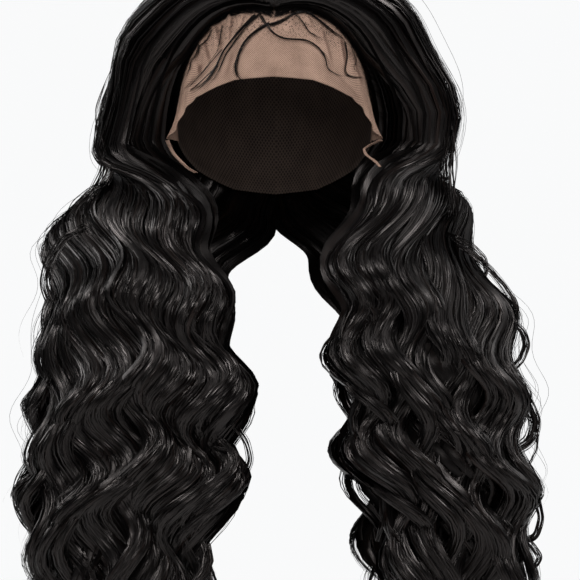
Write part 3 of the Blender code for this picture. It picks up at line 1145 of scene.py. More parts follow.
LAYERS = {
    Region.FRONT: (
        Layer(0.00, 0.54, 20, 0.76, 0.96, 52, 5),
        Layer(0.00, 0.07, 9, 0.20, 0.90, 20, 4),
        Layer(0.00, 0.50, 9, 0.42, 0.62, 12, 3),
        Layer(0.00, 0.50, 9, 0.06, 0.24, 12, 3),
    ),
    Region.BACK: (
        Layer(0.54, 1.00, 15, 0.76, 0.96, 36, 5),
        Layer(0.50, 1.00, 9, 0.42, 0.62, 14, 3),
        Layer(0.50, 1.00, 9, 0.06, 0.24, 14, 3),
    ),
}
TENDRILS = (
    Tendril("left_flyaway", Side.LEFT, 0.030, 0.0009, 3, (
        (122, 30), (113, 45), (99, 74), (89, 104), (89, 120), (96, 138), (99, 158),
    )),
    Tendril("left_brow_wave", Side.LEFT, 0.020, 0.0016, 7, (
        (128, 60), (109, 90), (97, 120), (96, 144), (99, 160), (104, 174),
    )),
    Tendril("left_ear_wave", Side.LEFT, 0.020, 0.0062, 52, (
        (112, 112), (105, 134), (102, 154), (99, 170), (90, 186), (79, 200), (76, 216),
    )),
    Tendril("left_outer_curls", Side.LEFT, 0.030, 0.0040, 16, (
        (104, 176), (84, 186), (68, 200), (60, 216), (64, 232), (80, 244),
    )),
    Tendril("right_flyaway", Side.RIGHT, 0.030, 0.0010, 3, (
        (436, 60), (450, 96), (460, 128), (463, 160), (459, 190), (466, 214),
    )),
    Tendril("right_outer_wave", Side.RIGHT, 0.025, 0.0056, 50, (
        (434, 92), (447, 112), (454, 136), (451, 160), (453, 184), (459, 206), (456, 228),
    )),
    Tendril("left_fan", Side.LEFT, 0.050, 0.0045, 26, (
        (80, 225), (58, 238), (44, 262), (40, 283), (47, 302), (62, 318), (84, 334),
    )),
    Tendril("left_ring", Side.LEFT, 0.058, 0.0024, 22, (
        (88, 330), (72, 321), (56, 317), (44, 328), (42, 342), (50, 352), (66, 356), (90, 366),
    )),
    Tendril("left_bow", Side.LEFT, 0.060, 0.0028, 26, (
        (92, 340), (72, 350), (48, 365), (34, 383), (31, 402), (39, 418), (56, 426), (84, 432),
    )),
    Tendril("left_inner_bow", Side.LEFT, 0.058, 0.0018, 14, (
        (86, 352), (66, 366), (54, 384), (55, 402), (68, 418),
    )),
    Tendril("left_sweep", Side.LEFT, 0.064, 0.0070, 60, (
        (96, 436), (62, 446), (33, 462), (18, 483), (16, 504), (26, 524), (44, 538), (52, 552),
        (46, 574),
    )),
    Tendril("left_tip", Side.LEFT, 0.064, 0.0016, 12, (
        (70, 540), (52, 556), (38, 558), (22, 554),
    )),
    Tendril("left_cheek_curl", Side.LEFT, 0.112, 0.0022, 18, (
        (214, 402), (232, 420), (247, 437), (252, 457), (243, 477), (226, 492), (216, 506),
    )),
    Tendril("left_cheek_ring", Side.LEFT, 0.114, 0.0016, 14, (
        (204, 440), (216, 444), (230, 448), (234, 463), (224, 477), (210, 480),
    )),
    Tendril("left_drop", Side.LEFT, 0.114, 0.0024, 20, (
        (206, 470), (197, 490), (189, 513), (186, 540), (198, 566), (212, 580),
    )),
    Tendril("left_drop_two", Side.LEFT, 0.112, 0.0018, 14, (
        (214, 470), (222, 492), (221, 512), (207, 534), (200, 554), (212, 578),
    )),
    Tendril("right_fan", Side.RIGHT, 0.050, 0.0030, 22, (
        (452, 236), (474, 252), (492, 268), (508, 286), (519, 304), (521, 322), (512, 340),
    )),
    Tendril("right_thin_fan", Side.RIGHT, 0.052, 0.0020, 12, (
        (450, 232), (474, 244), (488, 258), (490, 272), (482, 286),
    )),
    Tendril("right_ring", Side.RIGHT, 0.058, 0.0026, 26, (
        (492, 310), (510, 320), (526, 330), (531, 345), (525, 361), (511, 375), (492, 384),
    )),
    Tendril("right_bow", Side.RIGHT, 0.062, 0.0050, 44, (
        (482, 372), (508, 384), (530, 403), (539, 424), (534, 443), (514, 455), (490, 462),
    )),
    Tendril("right_thin_bow", Side.RIGHT, 0.062, 0.0010, 7, (
        (528, 410), (540, 432), (539, 452), (531, 467), (530, 482),
    )),
    Tendril("right_low_bow", Side.RIGHT, 0.064, 0.0030, 26, (
        (500, 452), (524, 470), (538, 498), (544, 520), (538, 540), (516, 548),
    )),
    Tendril("right_end_curl", Side.RIGHT, 0.064, 0.0022, 18, (
        (494, 530), (514, 538), (532, 545), (543, 560), (533, 578),
    )),
    Tendril("right_neck_ring", Side.RIGHT, 0.110, 0.0020, 18, (
        (352, 330), (341, 344), (334, 358), (339, 373), (352, 384), (366, 396),
    )),
    Tendril("right_neck_bow", Side.RIGHT, 0.112, 0.0018, 14, (
        (366, 418), (354, 432), (345, 448), (347, 464), (366, 480), (390, 494),
    )),
    Tendril("right_chest_wisp", Side.RIGHT, 0.114, 0.0014, 9, (
        (352, 440), (362, 458), (378, 486), (382, 514), (376, 538),
    )),
)


Span = tuple[float, float]


@dataclass(frozen=True)
class LockSpread:
    """How locks differ. Turns are in radians; shift, overlap and tip are shares."""

    group: int = 3
    turn: float = 0.75
    own_turn: float = 0.22
    stretch: float = 0.055
    gain: Span = (0.85, 1.45)
    own_gain: Span = (0.9, 1.1)
    shift: Span = (-0.25, 0.25)
    overlap: float = 1.15
    tip: Span = (-0.02, 0.05)
    aside: float = 0.016
    twist: Span = (-0.45, 0.45)


@dataclass(frozen=True)
class StrandSpread:
    """How the strands of a lock differ, and how the lock narrows. Roots and tips are in stations."""

    root: Span = (-0.02, 0.16)
    late_share: float = 0.25
    late_root: Span = (0.3, 3.5)
    short: float = 0.30
    most_short: float = 1.8
    past_tip: float = 0.2
    pinch: float = 0.62
    pinch_speed: float = 1.1
    pinch_power: float = 0.8
    swell: float = 0.22
    swell_turns: float = 0.42
    swell_shift: float = 9.0
    spread_speed: float = 3.0
    depth: float = 0.11
    crown_depth: float = 0.8
    depths: Span = (0.02, 0.99)
    rise_run: float = 0.5
    late_rise_run: float = 1.6
    rise_depth: float = 0.82
    late_rise_depth: float = 0.35
    turn: float = 0.10
    side_frizz: float = 1.5
    root_width: float = 0.35
    root_slope: float = 12.0
    widths: Span = (0.65, 1.35)
    lean: float = 0.9
    lean_start: float = 2.0
    lean_run: float = 4.0
    roll_turns: float = 2.5
    strand_roll: float = 0.13
    strip_roll: float = 0.12
    strip_sink: float = 0.06


@dataclass(frozen=True)
class Drift:
    """How strands wander off their course. Start and run are in stations."""

    size: float = 0.0011
    cycles: tuple[float, ...] = (0.35, 0.8, 1.7)
    least: float = 0.25
    start: float = 3.0
    run: float = 9.0


@dataclass(frozen=True)
class Core:
    """The dark middle of each tress, by the lanes and depths of its columns."""

    lanes: tuple[float, ...] = (0.15, 0.5, 0.85)
    depths: tuple[float, ...] = (0.25, 0.62)
    width: float = 0.019
    root: float = 0.1
    short: float = 1.6
    edges: Span = (0.02, 0.98)
    root_width: float = 0.5
    root_slope: float = 3.0


@dataclass(frozen=True)
class Curl:
    """How the hairs of a curl lie in their bundle, whose ends are tucked into the hair."""

    steps: int = 54
    twist: float = 2.2
    waist: float = 0.75
    tuck: float = 0.012
    tuck_slope: float = 2.2
    frizz: float = 0.6
    drift_start: float = 9.0
    drift_run: float = 6.0
    widths: Span = (0.5, 1.0)
    roll: float = 0.6


@dataclass(frozen=True)
class PartingHair:
    """The hair that is combed back over the parting, by its lanes and stations."""

    strands: int = 110
    root: Span = (0.0, 0.02)
    run: Span = (0.16, 0.42)
    run_power: float = 1.2
    station: Span = (0.0, 0.55)
    rise: Span = (0.1, 1.2)
    depth: Span = (0.80, 1.0)
    drift_start: float = 8.0
    drift_run: float = 5.0
    widths: Span = (0.6, 1.1)
    roll: float = 0.2


@dataclass(frozen=True)
class Stray:
    """Single hairs outside the locks. Roots and runs are in stations, and leave is in metres."""

    strands: int = 62
    steps: int = 44
    width: float = 0.00028
    lane: Span = (0.0, 0.75)
    root: Span = (1.0, 8.0)
    run: Span = (3.5, 7.5)
    depth: float = 0.97
    turn: float = 0.6
    gain: Span = (0.6, 1.5)
    bend: Span = (0.5, 1.0)
    leave: float = 0.0045
    leaves: Span = (0.0008, 0.014)
    sway: float = 0.005
    sway_turns: float = 1.3
    sway_shift: float = 40.0
    root_slope: float = 9.0
    tip_slope: float = 5.0
    least_width: float = 0.2


PLAIN_WAVE = Wave(0.0, 1.0, 1.0)
UPWARDS = np.array([0.0, 0.0, 1.0])
FORWARDS = np.array([0.0, -1.0, 0.0])
LEAST_STEP = 1e-9


@dataclass
class HairSide:
    """The hair of one side: dark cores under wide strips, fine strands, curls and stray hairs."""

    side: Side
    form: HairForm = field(init=False)
    draw: np.random.Generator = field(init=False)
    crown_steps: int = 13
    hanging_steps: int = 48
    strand_width: float = 0.00072
    strip_width: float = 0.0060
    spread: LockSpread = LockSpread()
    own: StrandSpread = StrandSpread()
    drift: Drift = Drift()
    core: Core = Core()
    curl: Curl = Curl()
    parting: PartingHair = PartingHair()
    stray: Stray = Stray()

    def __post_init__(self) -> None:
        """Works out the form of this side and its own random draws."""
        self.form = HairForm(self.side)
        self.draw = np.random.default_rng(SEED + self.side.value)

    def stations(self, start: Array, tip: Array) -> Array:
        """Stations along strands, closer together where the hair waves.

        Args:
            start: Where each strand starts.
            tip: Where it ends.

        Returns:
            One row of stations for each strand.
        """
        above = np.linspace(0, 1, self.crown_steps)[:-1]
        below = np.linspace(0, 1, self.hanging_steps)
        ear = np.full_like(start, EAR_STATION)
        upper = between(start[:, None], ear[:, None], above)
        lower = between(ear[:, None], tip[:, None], below)
        return np.concatenate([upper, lower], axis=1)

    def wander(self, count: int, stations: Array, size: float) -> Array:
        """Slow random drift of strands off their course, more towards the tips.

        Args:
            count: How many strands there are.
            stations: Their stations.
            size: How far they drift at the tips.

        Returns:
            An offset in metres for each point.
        """
        offset = np.zeros(stations.shape)
        for cycles in self.drift.cycles:
            phase = self.draw.uniform(0, 2 * np.pi, (count, 1))
            reach = self.draw.normal(0, size, (count, 1))
            offset += reach * np.sin(2 * np.pi * cycles * stations / EAR_STATION + phase) / (1 + cycles)
        return offset * between(self.drift.least, 1.0, eased((stations - self.drift.start) / self.drift.run))

    def locks(self, layer: Layer) -> dict[str, Array]:
        """Draws the locks of a layer.

        Args:
            layer: The layer.

        Returns:
            The lane, depth, wave and tip of each lock.
        """
        count, by = layer.locks, self.spread
        step = (layer.last_lane - layer.first_lane) / count
        lane = layer.first_lane + step * (np.arange(count) + 0.5)
        group = np.arange(count) // by.group
        groups = group[-1] + 1
        turn = self.draw.normal(0, by.turn, groups)[group] + self.draw.normal(0, by.own_turn, count)
        stretch = 1 + self.draw.uniform(-1, 1, groups)[group] * by.stretch
        gain = self.draw.uniform(*by.gain, groups)[group] * self.draw.uniform(*by.own_gain, count)
        depth = self.draw.permutation(np.linspace(layer.least_depth, layer.most_depth, count))
        return {
            "lane": lane + self.draw.uniform(*by.shift, count) * step,
            "half": np.full(count, step * by.overlap),
            "depth": depth,
            "turn": turn,
            "stretch": stretch,
            "gain": gain,
            "tip": LAST_STATION - len(SECTIONS) * self.draw.uniform(*by.tip, count),
            "aside": self.draw.normal(0, by.aside, groups)[group],
            "twist": self.draw.uniform(*by.twist, count),
        }

    def grown(self, locks: dict[str, Array], per_lock: int, sink: float, width: float) -> Strands:
        """Grows strands in locks.

        Args:
            locks: The locks.
            per_lock: How many strands each has.
            sink: How much deeper than the lock they lie.
            width: How wide a strand is.

        Returns:
            The strands.
        """
        count, own = len(locks["lane"]) * per_lock, self.own
        lock = {name: np.repeat(values, per_lock)[:, None] for name, values in locks.items()}
        angle = self.draw.uniform(0, 2 * np.pi, (count, 1))
        reach = np.sqrt(self.draw.uniform(0, 1, (count, 1)))
        start = self.draw.uniform(*own.root, count)
        late = self.draw.uniform(0, 1, count) < own.late_share
        start = np.where(late, self.draw.uniform(*own.late_root, count), start)
        short = self.draw.exponential(own.short, count).clip(0, own.most_short)
        tip = (lock["tip"][:, 0] - short).clip(0, LAST_STATION + own.past_tip)
        stations = self.stations(start, tip)
        hanging = (stations - EAR_STATION) / (tip[:, None] - EAR_STATION)
        below = eased(hanging * own.spread_speed)
        angle = angle + 2 * np.pi * lock["twist"] * eased(hanging)
        left = 1 - (1 - own.pinch) * eased(hanging * own.pinch_speed) ** own.pinch_power
        swell = np.sin(2 * np.pi * stations * own.swell_turns + lock["turn"] * own.swell_shift)
        left = left * (1 + own.swell * swell * below)
        lane = lock["lane"] + lock["half"] * reach * np.cos(angle) * left
        lane = np.clip(lane + lock["aside"] * eased(hanging) ** 2, 0.0, 1.0)
        thick = between(own.crown_depth, left, below)
        depth = lock["depth"] - sink + own.depth * reach * np.sin(angle) * thick
        rise = eased((stations - start[:, None]) / np.where(late, own.late_rise_run, own.rise_run)[:, None])
        low = np.where(late, own.late_rise_depth, own.rise_depth)[:, None]
        depth = np.clip(depth, *own.depths) * between(low, 1.0, rise)
        turn = lock["turn"] + self.draw.normal(0, own.turn, (count, 1))
        paths, facings = self.form.points(lane, depth, stations, Wave(turn, lock["stretch"], lock["gain"]))
        side = unit(np.cross(facings, UPWARDS))
        paths = paths + facings * self.wander(count, stations, self.drift.size)[..., None]
        paths = paths + side * self.wander(count, stations, self.drift.size * own.side_frizz)[..., None]
        share = np.linspace(0, 1, stations.shape[1])
        taper = np.minimum(1, between(own.root_width, 1, share * own.root_slope))
        taper = taper * tip_taper(share, slope=9, least=0.12)
        widths = width * self.draw.uniform(*own.widths, (count, 1)) * taper
        lean = -own.lean * reach * np.cos(angle) * eased((stations - own.lean_start) / own.lean_run)
        lean = self.side.value * (lean + self.form.edge_turn(lane, depth))
        return Strands(paths, facings, widths, lean)

    def rolled(self, strands: Strands, spread: float) -> Strands:
        """Turns each strand about its own course by random amounts.

        Args:
            strands: The strands.
            spread: How far, in radians.

        Returns:
            The turned strands.
        """
        count, steps = strands.widths.shape
        base = self.draw.normal(0, spread, (count, 1))
        swing = self.draw.normal(0, spread / 2, (count, 1))
        share = np.linspace(0, 1, steps)
        phase = self.draw.uniform(0, 2 * np.pi, (count, 1))
        roll = strands.roll + base + swing * np.sin(2 * np.pi * self.own.roll_turns * share + phase)
        return strands._replace(roll=roll)

    def cores(self, region: Region) -> Strands:
        """The dark middle of each tress, which closes the hair behind its strands.

        Args:
            region: The region of the hair.

        Returns:
            Wide soft strands, one column of them for each tress and depth.
        """
        core = self.core
        columns = [
            ((number - 1 + share) / TRESSES_PER_SIDE, depth)
            for number in region.value for share in core.lanes for depth in core.depths
        ]
        count = len(columns)
        stations = self.stations(np.full(count, core.root), np.full(count, LAST_STATION - core.short))
        lane, depth = (np.array(column)[:, None] + 0 * stations for column in zip(*columns))
        paths, facings = self.form.points(np.clip(lane, *core.edges), depth, stations, PLAIN_WAVE)
        share = np.linspace(0, 1, stations.shape[1])
        root = np.clip(core.root_width + share * core.root_slope, 0, 1)
        taper = tip_taper(share, slope=2.2, least=0.12) * root
        return Strands(paths, facings, np.full(stations.shape, core.width) * taper, np.zeros(stations.shape))

    def bundle(self, row: Tendril) -> Strands:
        """One curl, as a bundle whose ends run into the hair.

        Args:
            row: Its row of the table.

        Returns:
            The strands.
        """
        curl = self.curl
        x, z = picture_curve(row.points, curl.steps)
        share = np.linspace(0, 1, curl.steps)
        spin = self.draw.uniform(0, 2 * np.pi, (row.hairs, 1))
        reach = np.sqrt(self.draw.uniform(0, 1, (row.hairs, 1))) * row.reach
        twist = spin + curl.twist * share
        flat = np.gradient(x), np.gradient(z)
        normal = np.array([flat[1], -flat[0]]) / np.maximum(np.hypot(*flat), LEAST_STEP)
        across = reach * np.cos(twist) * between(curl.waist, 1.0, np.sin(np.pi * share))
        tuck = curl.tuck * (1 - np.clip(np.sin(np.pi * share) * curl.tuck_slope, 0, 1))
        stations = curl.drift_start + curl.drift_run * share + 0 * spin
        paths = np.stack([
            x + normal[0] * across + self.wander(row.hairs, stations, self.drift.size * curl.frizz),
            -row.front + reach * np.sin(twist) + tuck,
            z + normal[1] * across,
        ], axis=-1)
        facings = np.broadcast_to(FORWARDS, paths.shape)
        widths = self.strand_width * self.draw.uniform(*curl.widths, (row.hairs, 1))
        widths = widths * tip_taper(share, slope=7, least=0.2, end=1.04)
        return Strands(paths, facings, widths, np.zeros(widths.shape))

    def combed_back(self) -> Strands:
        """The hair that runs back from the hairline over the parting.

        Returns:
            The strands.
        """
        own = self.parting
        each = (own.strands, 1)
        share = np.linspace(0, 1, self.crown_steps + self.hanging_steps - 1)
        start = self.draw.uniform(*own.root, each)
        lane = start + self.draw.uniform(*own.run, each) * share**own.run_power
        station = self.draw.uniform(*own.station, each) + self.draw.uniform(*own.rise, each) * share**2
        depth = self.draw.uniform(*own.depth, each) + 0 * lane
        paths, facings = self.form.points(lane, depth, station, PLAIN_WAVE)
        stations = own.drift_start + own.drift_run * share + 0 * lane
        sway = self.wander(own.strands, stations, self.drift.size)
        paths = paths + facings * sway[..., None]
        widths = self.strand_width * self.draw.uniform(*own.widths, each)
        widths = widths * tip_taper(share, slope=5, least=0.15)
        return Strands(paths, facings, widths, self.draw.normal(0, own.roll, each) + 0 * lane)

    def stray_hairs(self) -> Strands:
        """Single hairs that have left the locks.

        Returns:
            The strands.
        """
        own = self.stray
        each = (own.strands, 1)
        lane = self.draw.uniform(*own.lane, each)
        start = self.draw.uniform(*own.root, own.strands)
        tip = np.minimum(start + self.draw.uniform(*own.run, own.strands), LAST_STATION)
        share = np.linspace(0, 1, own.steps)
        stations = between(start[:, None], tip[:, None], share)
        wave = Wave(self.draw.normal(0, own.turn, each), 1.0, self.draw.uniform(*own.gain, each))
        paths, facings = self.form.points(lane + 0 * stations, own.depth + 0 * stations, stations, wave)
        curve = np.sin(np.pi * share * self.draw.uniform(*own.bend, each))
        leave = self.draw.exponential(own.leave, each).clip(*own.leaves) * curve
        swing = np.sin(2 * np.pi * share * own.sway_turns + lane * own.sway_shift)
        sway = self.draw.normal(0, own.sway, each) * swing
        side = unit(np.cross(facings, UPWARDS))
        paths = paths + facings * leave[..., None] + side * sway[..., None]
        slopes = np.minimum(share * own.root_slope, (1 - share) * own.tip_slope)
        taper = np.clip(slopes, own.least_width, 1)
        return Strands(paths, facings, own.width * taper + 0 * stations, np.zeros(stations.shape))

    def build(self, finish: bpy.types.Material, under: bpy.types.Material) -> None:
        """Makes and dresses the pieces of this side.

        Args:
            finish: The finish of the strands.
            under: The finish of what lies below them.
        """
        for region, layers in LAYERS.items():
            nodes, place = region.nodes(self.side), f"{region.name.lower()}_{self.side.word}"
            fine, wide = [], []
            for layer in layers:
                locks = self.locks(layer)
                strands = self.grown(locks, layer.strands, 0.0, self.strand_width)
                fine.append(self.rolled(strands, self.own.strand_roll))
                strips = self.grown(locks, layer.strips, self.own.strip_sink, self.strip_width)
                wide.append(self.rolled(strips, self.own.strip_roll))
            if region is Region.FRONT:
                fine.append(self.combed_back())
                rows = [row for row in TENDRILS if row.side is self.side]
                curls = [self.rolled(self.bundle(row), self.curl.roll) for row in rows]
                piece = Strands.joined(curls).ribbons(f"hair_curls_{self.side.word}", crown=0.0, columns=2)
                finish_piece(piece, finish, nodes)
            piece = Strands.joined(fine).ribbons(f"hair_strands_{place}", crown=0.0, columns=2)
            finish_piece(piece, finish, nodes)
            piece = Strands.joined(wide).ribbons(f"hair_strips_{place}", crown=0.16, columns=3)
            finish_piece(piece, finish, nodes)
            piece = self.cores(region).ribbons(f"hair_core_{place}", crown=0.10, columns=4)
            finish_piece(piece, under, nodes)
        piece = self.stray_hairs().tubes(f"stray_hairs_{self.side.word}")
        finish_piece(piece, finish, Region.FRONT.nodes(self.side))


# Cap and lace


class Edge(NamedTuple):
    """A point of an edge, in degrees round the head and above its widest level."""

    azimuth: float
    latitude: float


class Stand(NamedTuple):
    """How far the free edge of the lace stands off the head, as a share of the flare."""

    azimuth: float
    flare: float


CAP_EDGE = (
    Edge(0, 57),
    Edge(30, 54),
    Edge(50, 45),
    Edge(60, 34),
    Edge(70, 16),
    Edge(80, -4),
    Edge(90, -10),
    Edge(120, -22),
    Edge(150, -30),
    Edge(180, -32),
)
LACE_EDGE = (
    Edge(0, 10),
    Edge(22, 9),
    Edge(34, 6.5),
    Edge(48, 3),
    Edge(57, -1.5),
    Edge(64, -8),
    Edge(72, -12),
    Edge(82, -13),
)
LACE_FLARE = (
    Stand(0, 0.0),
    Stand(38, 0.0),
    Stand(50, 0.25),
    Stand(63, 0.70),
    Stand(70, 1.0),
    Stand(76, 0.0),
    Stand(90, 0.0),
)


def sheet_grid(name: str, columns: int, rows: int) -> bpy.types.Object:
    """Adds a flat grid with a UV map, to be laid on the head.

    Args:
        name: The object's name.
        columns: How many steps it has across.
        rows: How many steps it has up.

    Returns:
        The grid, one metre square about the origin.
    """
    deselect_all()
    bpy.ops.mesh.primitive_grid_add(x_subdivisions=columns, y_subdivisions=rows, size=1.0, calc_uvs=True)
    grid = bpy.context.object
    grid.name = grid.data.name = name
    return grid


def lay(
    grid: bpy.types.Object, places: Callable[[Array, Array], Array], width: float, height: float
) -> None:
    """Moves every vertex of a flat grid to its place.

    Args:
        grid: The grid.
        places: Gives the places for arrays of shares across and up the grid.
        width: The cloth's width in metres, for its UV map.
        height: The cloth's height in metres.
    """
    mesh = grid.data
    flat = np.empty(len(mesh.vertices) * 3, np.float32)
    mesh.vertices.foreach_get("co", flat)
    flat = flat.reshape(-1, 3).astype(float)
    mesh.vertices.foreach_set("co", places(flat[:, 0] + 0.5, flat[:, 1] + 0.5).astype(np.float32).ravel())
    layer = mesh.uv_layers[0].uv
    uv = np.empty(len(layer) * 2, np.float32)
    layer.foreach_get("vector", uv)
    layer.foreach_set("vector", (uv.reshape(-1, 2) * np.array([width, height], np.float32)).ravel())
    mesh.update()


WELD = 0.00002


def thicken(sheet: bpy.types.Object, wall: float) -> None:
    """Gives a sheet its thickness outwards, and smooth shading.

    Args:
        sheet: The sheet.
        wall: Its thickness.
    """
    deselect_all()
    bpy.context.view_layer.objects.active = sheet
    sheet.select_set(True)
    bpy.ops.object.mode_set(mode="EDIT")
    bpy.ops.mesh.select_all(action="SELECT")
    bpy.ops.mesh.remove_doubles(threshold=WELD)
    bpy.ops.mesh.normals_make_consistent(inside=False)
    bpy.ops.object.mode_set(mode="OBJECT")
    middle = np.array([0.0, 0.0, -HEAD.crown_height])
    face = sheet.data.polygons[len(sheet.data.polygons) // 2]
    inwards = np.dot(np.array(face.center) - middle, np.array(face.normal)) < 0
    if inwards:
        bpy.ops.object.mode_set(mode="EDIT")
        bpy.ops.mesh.flip_normals()
        bpy.ops.object.mode_set(mode="OBJECT")
    solid = sheet.modifiers.new("wall", "SOLIDIFY")
    solid.thickness = wall
    solid.offset = 1.0
    bpy.ops.object.modifier_apply(modifier="wall")
    bpy.ops.object.shade_smooth()


@dataclass
class StretchCap:
    """The stretch net dome that carries the hair."""

    columns: int = 96
    rows: int = 30
    wall: float = 0.0008
    cut_width: float = 0.52
    cut_height: float = 0.16

    def places(self, across: Array, up: Array) -> Array:
        """The places of the dome's net.

        Args:
            across: Shares round it from the back.
            up: Shares up it.

        Returns:
            The places.
        """
        azimuth = between(-HALF_TURN, HALF_TURN, across)
        edge = table_value(CAP_EDGE, "azimuth", "latitude", np.abs(azimuth))
        return HEAD.point(HEAD.ray(azimuth, between(edge, HALF_TURN / 2, up)))

    def build(self, material: bpy.types.Material) -> None:
        """Makes and dresses the cap.

        Args:
            material: Its finish.
        """
        cap = sheet_grid("stretch_cap", self.columns, self.rows)
        lay(cap, self.places, self.cut_width, self.cut_height)
        thicken(cap, self.wall)
        finish_piece(cap, material, ["crown_cap"])


class Fold(NamedTuple):
    """A soft fold in the lace, by the columns and rows of its ends in a picture of 580 by 580.

    Its half width and height are in metres.
    """

    columns: tuple[float, float]
    rows: tuple[float, float]
    half_width: float
    height: float


LACE_FOLDS = (
    Fold((211, 220), (16, 54), 0.0027, 0.0020),
    Fold((198, 209), (30, 66), 0.0025, 0.0019),
    Fold((190, 200), (48, 78), 0.0023, 0.0015),
    Fold((178, 206), (88, 54), 0.0027, 0.0014),
    Fold((230, 227), (4, 46), 0.0022, 0.0015),
    Fold((245, 234), (4, 40), 0.0022, 0.0012),
    Fold((232, 222), (46, 82), 0.0028, 0.0013),
    Fold((263, 258), (4, 30), 0.0020, 0.0007),
    Fold((288, 293), (4, 30), 0.0020, 0.0008),
    Fold((302, 318), (6, 40), 0.0023, 0.0013),
    Fold((316, 333), (16, 74), 0.0026, 0.0015),
    Fold((337, 345), (24, 72), 0.0026, 0.0019),
    Fold((350, 363), (48, 88), 0.0024, 0.0016),
    Fold((322, 368), (66, 106), 0.0030, 0.0015),
)


FOLD_FADE = 0.35


def fold_lift(x: Array, z: Array) -> Array:
    """How far the soft folds lift the lace.

    Args:
        x: The X of each place on the head.
        z: Its Z.

    Returns:
        The lift in metres.
    """
    lift = np.zeros_like(x)
    for fold in LACE_FOLDS:
        ends_x, ends_z = picture_place(np.array(fold.columns), np.array(fold.rows))
        run = np.array([ends_x[1] - ends_x[0], ends_z[1] - ends_z[0]])
        length = np.hypot(*run)
        right, up = x - ends_x[0], z - ends_z[0]
        along = (right * run[0] + up * run[1]) / length**2
        across = (right * run[1] - up * run[0]) / length
        faded = eased(along / FOLD_FADE) * eased((1 - along) / FOLD_FADE)
        lift = lift + fold.height * faded * np.exp(-((across / fold.half_width) ** 2))
    return lift


@dataclass
class LaceFront:
    """The sheer lace from ear to ear, with its folds and its free ruffled edge."""

    columns: int = 240
    rows: int = 64
    wall: float = 0.0004
    reach: float = 80.0
    seam_gap: float = 0.0006
    flare: float = 0.0085
    flare_sharpness: float = 4.0
    ruffle_height: float = 0.0030
    ruffle_count: int = 11
    base_lift: float = 0.0003
    steepness_reach: float = 0.0003
    steep_weight: float = 0.30
    shade_weight: float = 0.85
    edge_fade: float = 0.08
    seam_fade: float = 0.15
    cut_width: float = 0.235
    cut_height: float = 0.083
    cut_area: float = 0.0155

    def edge(self, azimuth: Array) -> tuple[Array, Array]:
        """The free edge of the lace.

        Args:
            azimuth: Degrees round the head from the front.

        Returns:
            Its latitude, and how far it stands off the head.
        """
        flare = table_value(LACE_FLARE, "azimuth", "flare", np.abs(azimuth))
        ruffle = np.sin(np.pi * self.ruffle_count * azimuth / self.reach) ** 2
        latitude = table_value(LACE_EDGE, "azimuth", "latitude", np.abs(azimuth))
        return latitude, flare * (self.flare * flare + self.ruffle_height * ruffle)

    def places(self, across: Array, up: Array) -> Array:
        """The places of the lace.

        Args:
            across: Shares across it from the left.
            up: Shares up it from its free edge.

        Returns:
            The places.
        """
        azimuth = between(-self.reach, self.reach, across)
        seam = table_value(CAP_EDGE, "azimuth", "latitude", np.abs(azimuth))
        seam = seam - math.degrees(self.seam_gap / HEAD.half_width)
        free, stand = self.edge(azimuth)
        latitude = between(free, seam, up)
        inside = eased(up / self.edge_fade) * eased((1 - up) / self.seam_fade)
        lift = self.base_lift + stand * (1 - up) ** self.flare_sharpness
        ray = HEAD.ray(azimuth, latitude)
        base = HEAD.point(ray)
        return HEAD.point(ray, lift + fold_lift(base[..., 0], base[..., 2]) * inside)

    def mark_folds(self, lace: bpy.types.Object) -> None:
        """Marks how steeply the folds stand, since a sheer net looks denser there, and paints shade on them.

        The flank that faces away from the key light counts for more: this part is painted shade.

        Args:
            lace: The laid cloth, before it has a thickness.
        """
        mesh = lace.data
        places = np.empty(len(mesh.vertices) * 3, np.float32)
        mesh.vertices.foreach_get("co", places)
        x, _, z = places.reshape(-1, 3).astype(float).T
        reach = self.steepness_reach
        rise_x = fold_lift(x + reach, z) - fold_lift(x - reach, z)
        rise_z = fold_lift(x, z + reach) - fold_lift(x, z - reach)
        # Painted shade: the flank that falls away from the key light, on the right of each fold, is weighted
        # more.
        rise = self.steep_weight * np.hypot(rise_x, rise_z) + self.shade_weight * np.maximum(-rise_x, 0)
        steep_and_shaded = rise / (2 * reach)
        layer = mesh.attributes.new(FOLD_STEEPNESS_AND_SHADE, "FLOAT", "POINT")
        layer.data.foreach_set("value", steep_and_shaded.astype(np.float32))

    def build(self, material: bpy.types.Material) -> None:
        """Makes and dresses the lace.

        Args:
            material: Its finish.
        """
        lace = sheet_grid("lace_net", self.columns, self.rows)
        lay(lace, self.places, self.cut_width, self.cut_height)
        self.mark_folds(lace)
        thicken(lace, self.wall)
        finish_piece(lace, material, ["lace_front"])


class TabStep(NamedTuple):
    """A step down a tab. Stand and width are shares of the tab's driving sizes."""

    azimuth: float
    latitude: float
    stand: float
    width: float


TAB_STEPS = {
    Side.LEFT: (
        TabStep(68, -14.6, 1.00, 0.75),
        TabStep(64, -17.5, 1.00, 0.62),
        TabStep(59, -20.5, 0.90, 0.60),
        TabStep(55, -23.0, 0.75, 0.50),
        TabStep(51, -25.5, 0.50, 0.32),
    ),
    Side.RIGHT: (
        TabStep(66, -13.8, 0.45, 0.60),
        TabStep(61, -16.0, 0.28, 0.42),
        TabStep(58, -18.0, 0.80, 0.55),
        TabStep(58, -19.4, 1.50, 0.62),
        TabStep(58, -21.0, 2.10, 0.34),
    ),
}


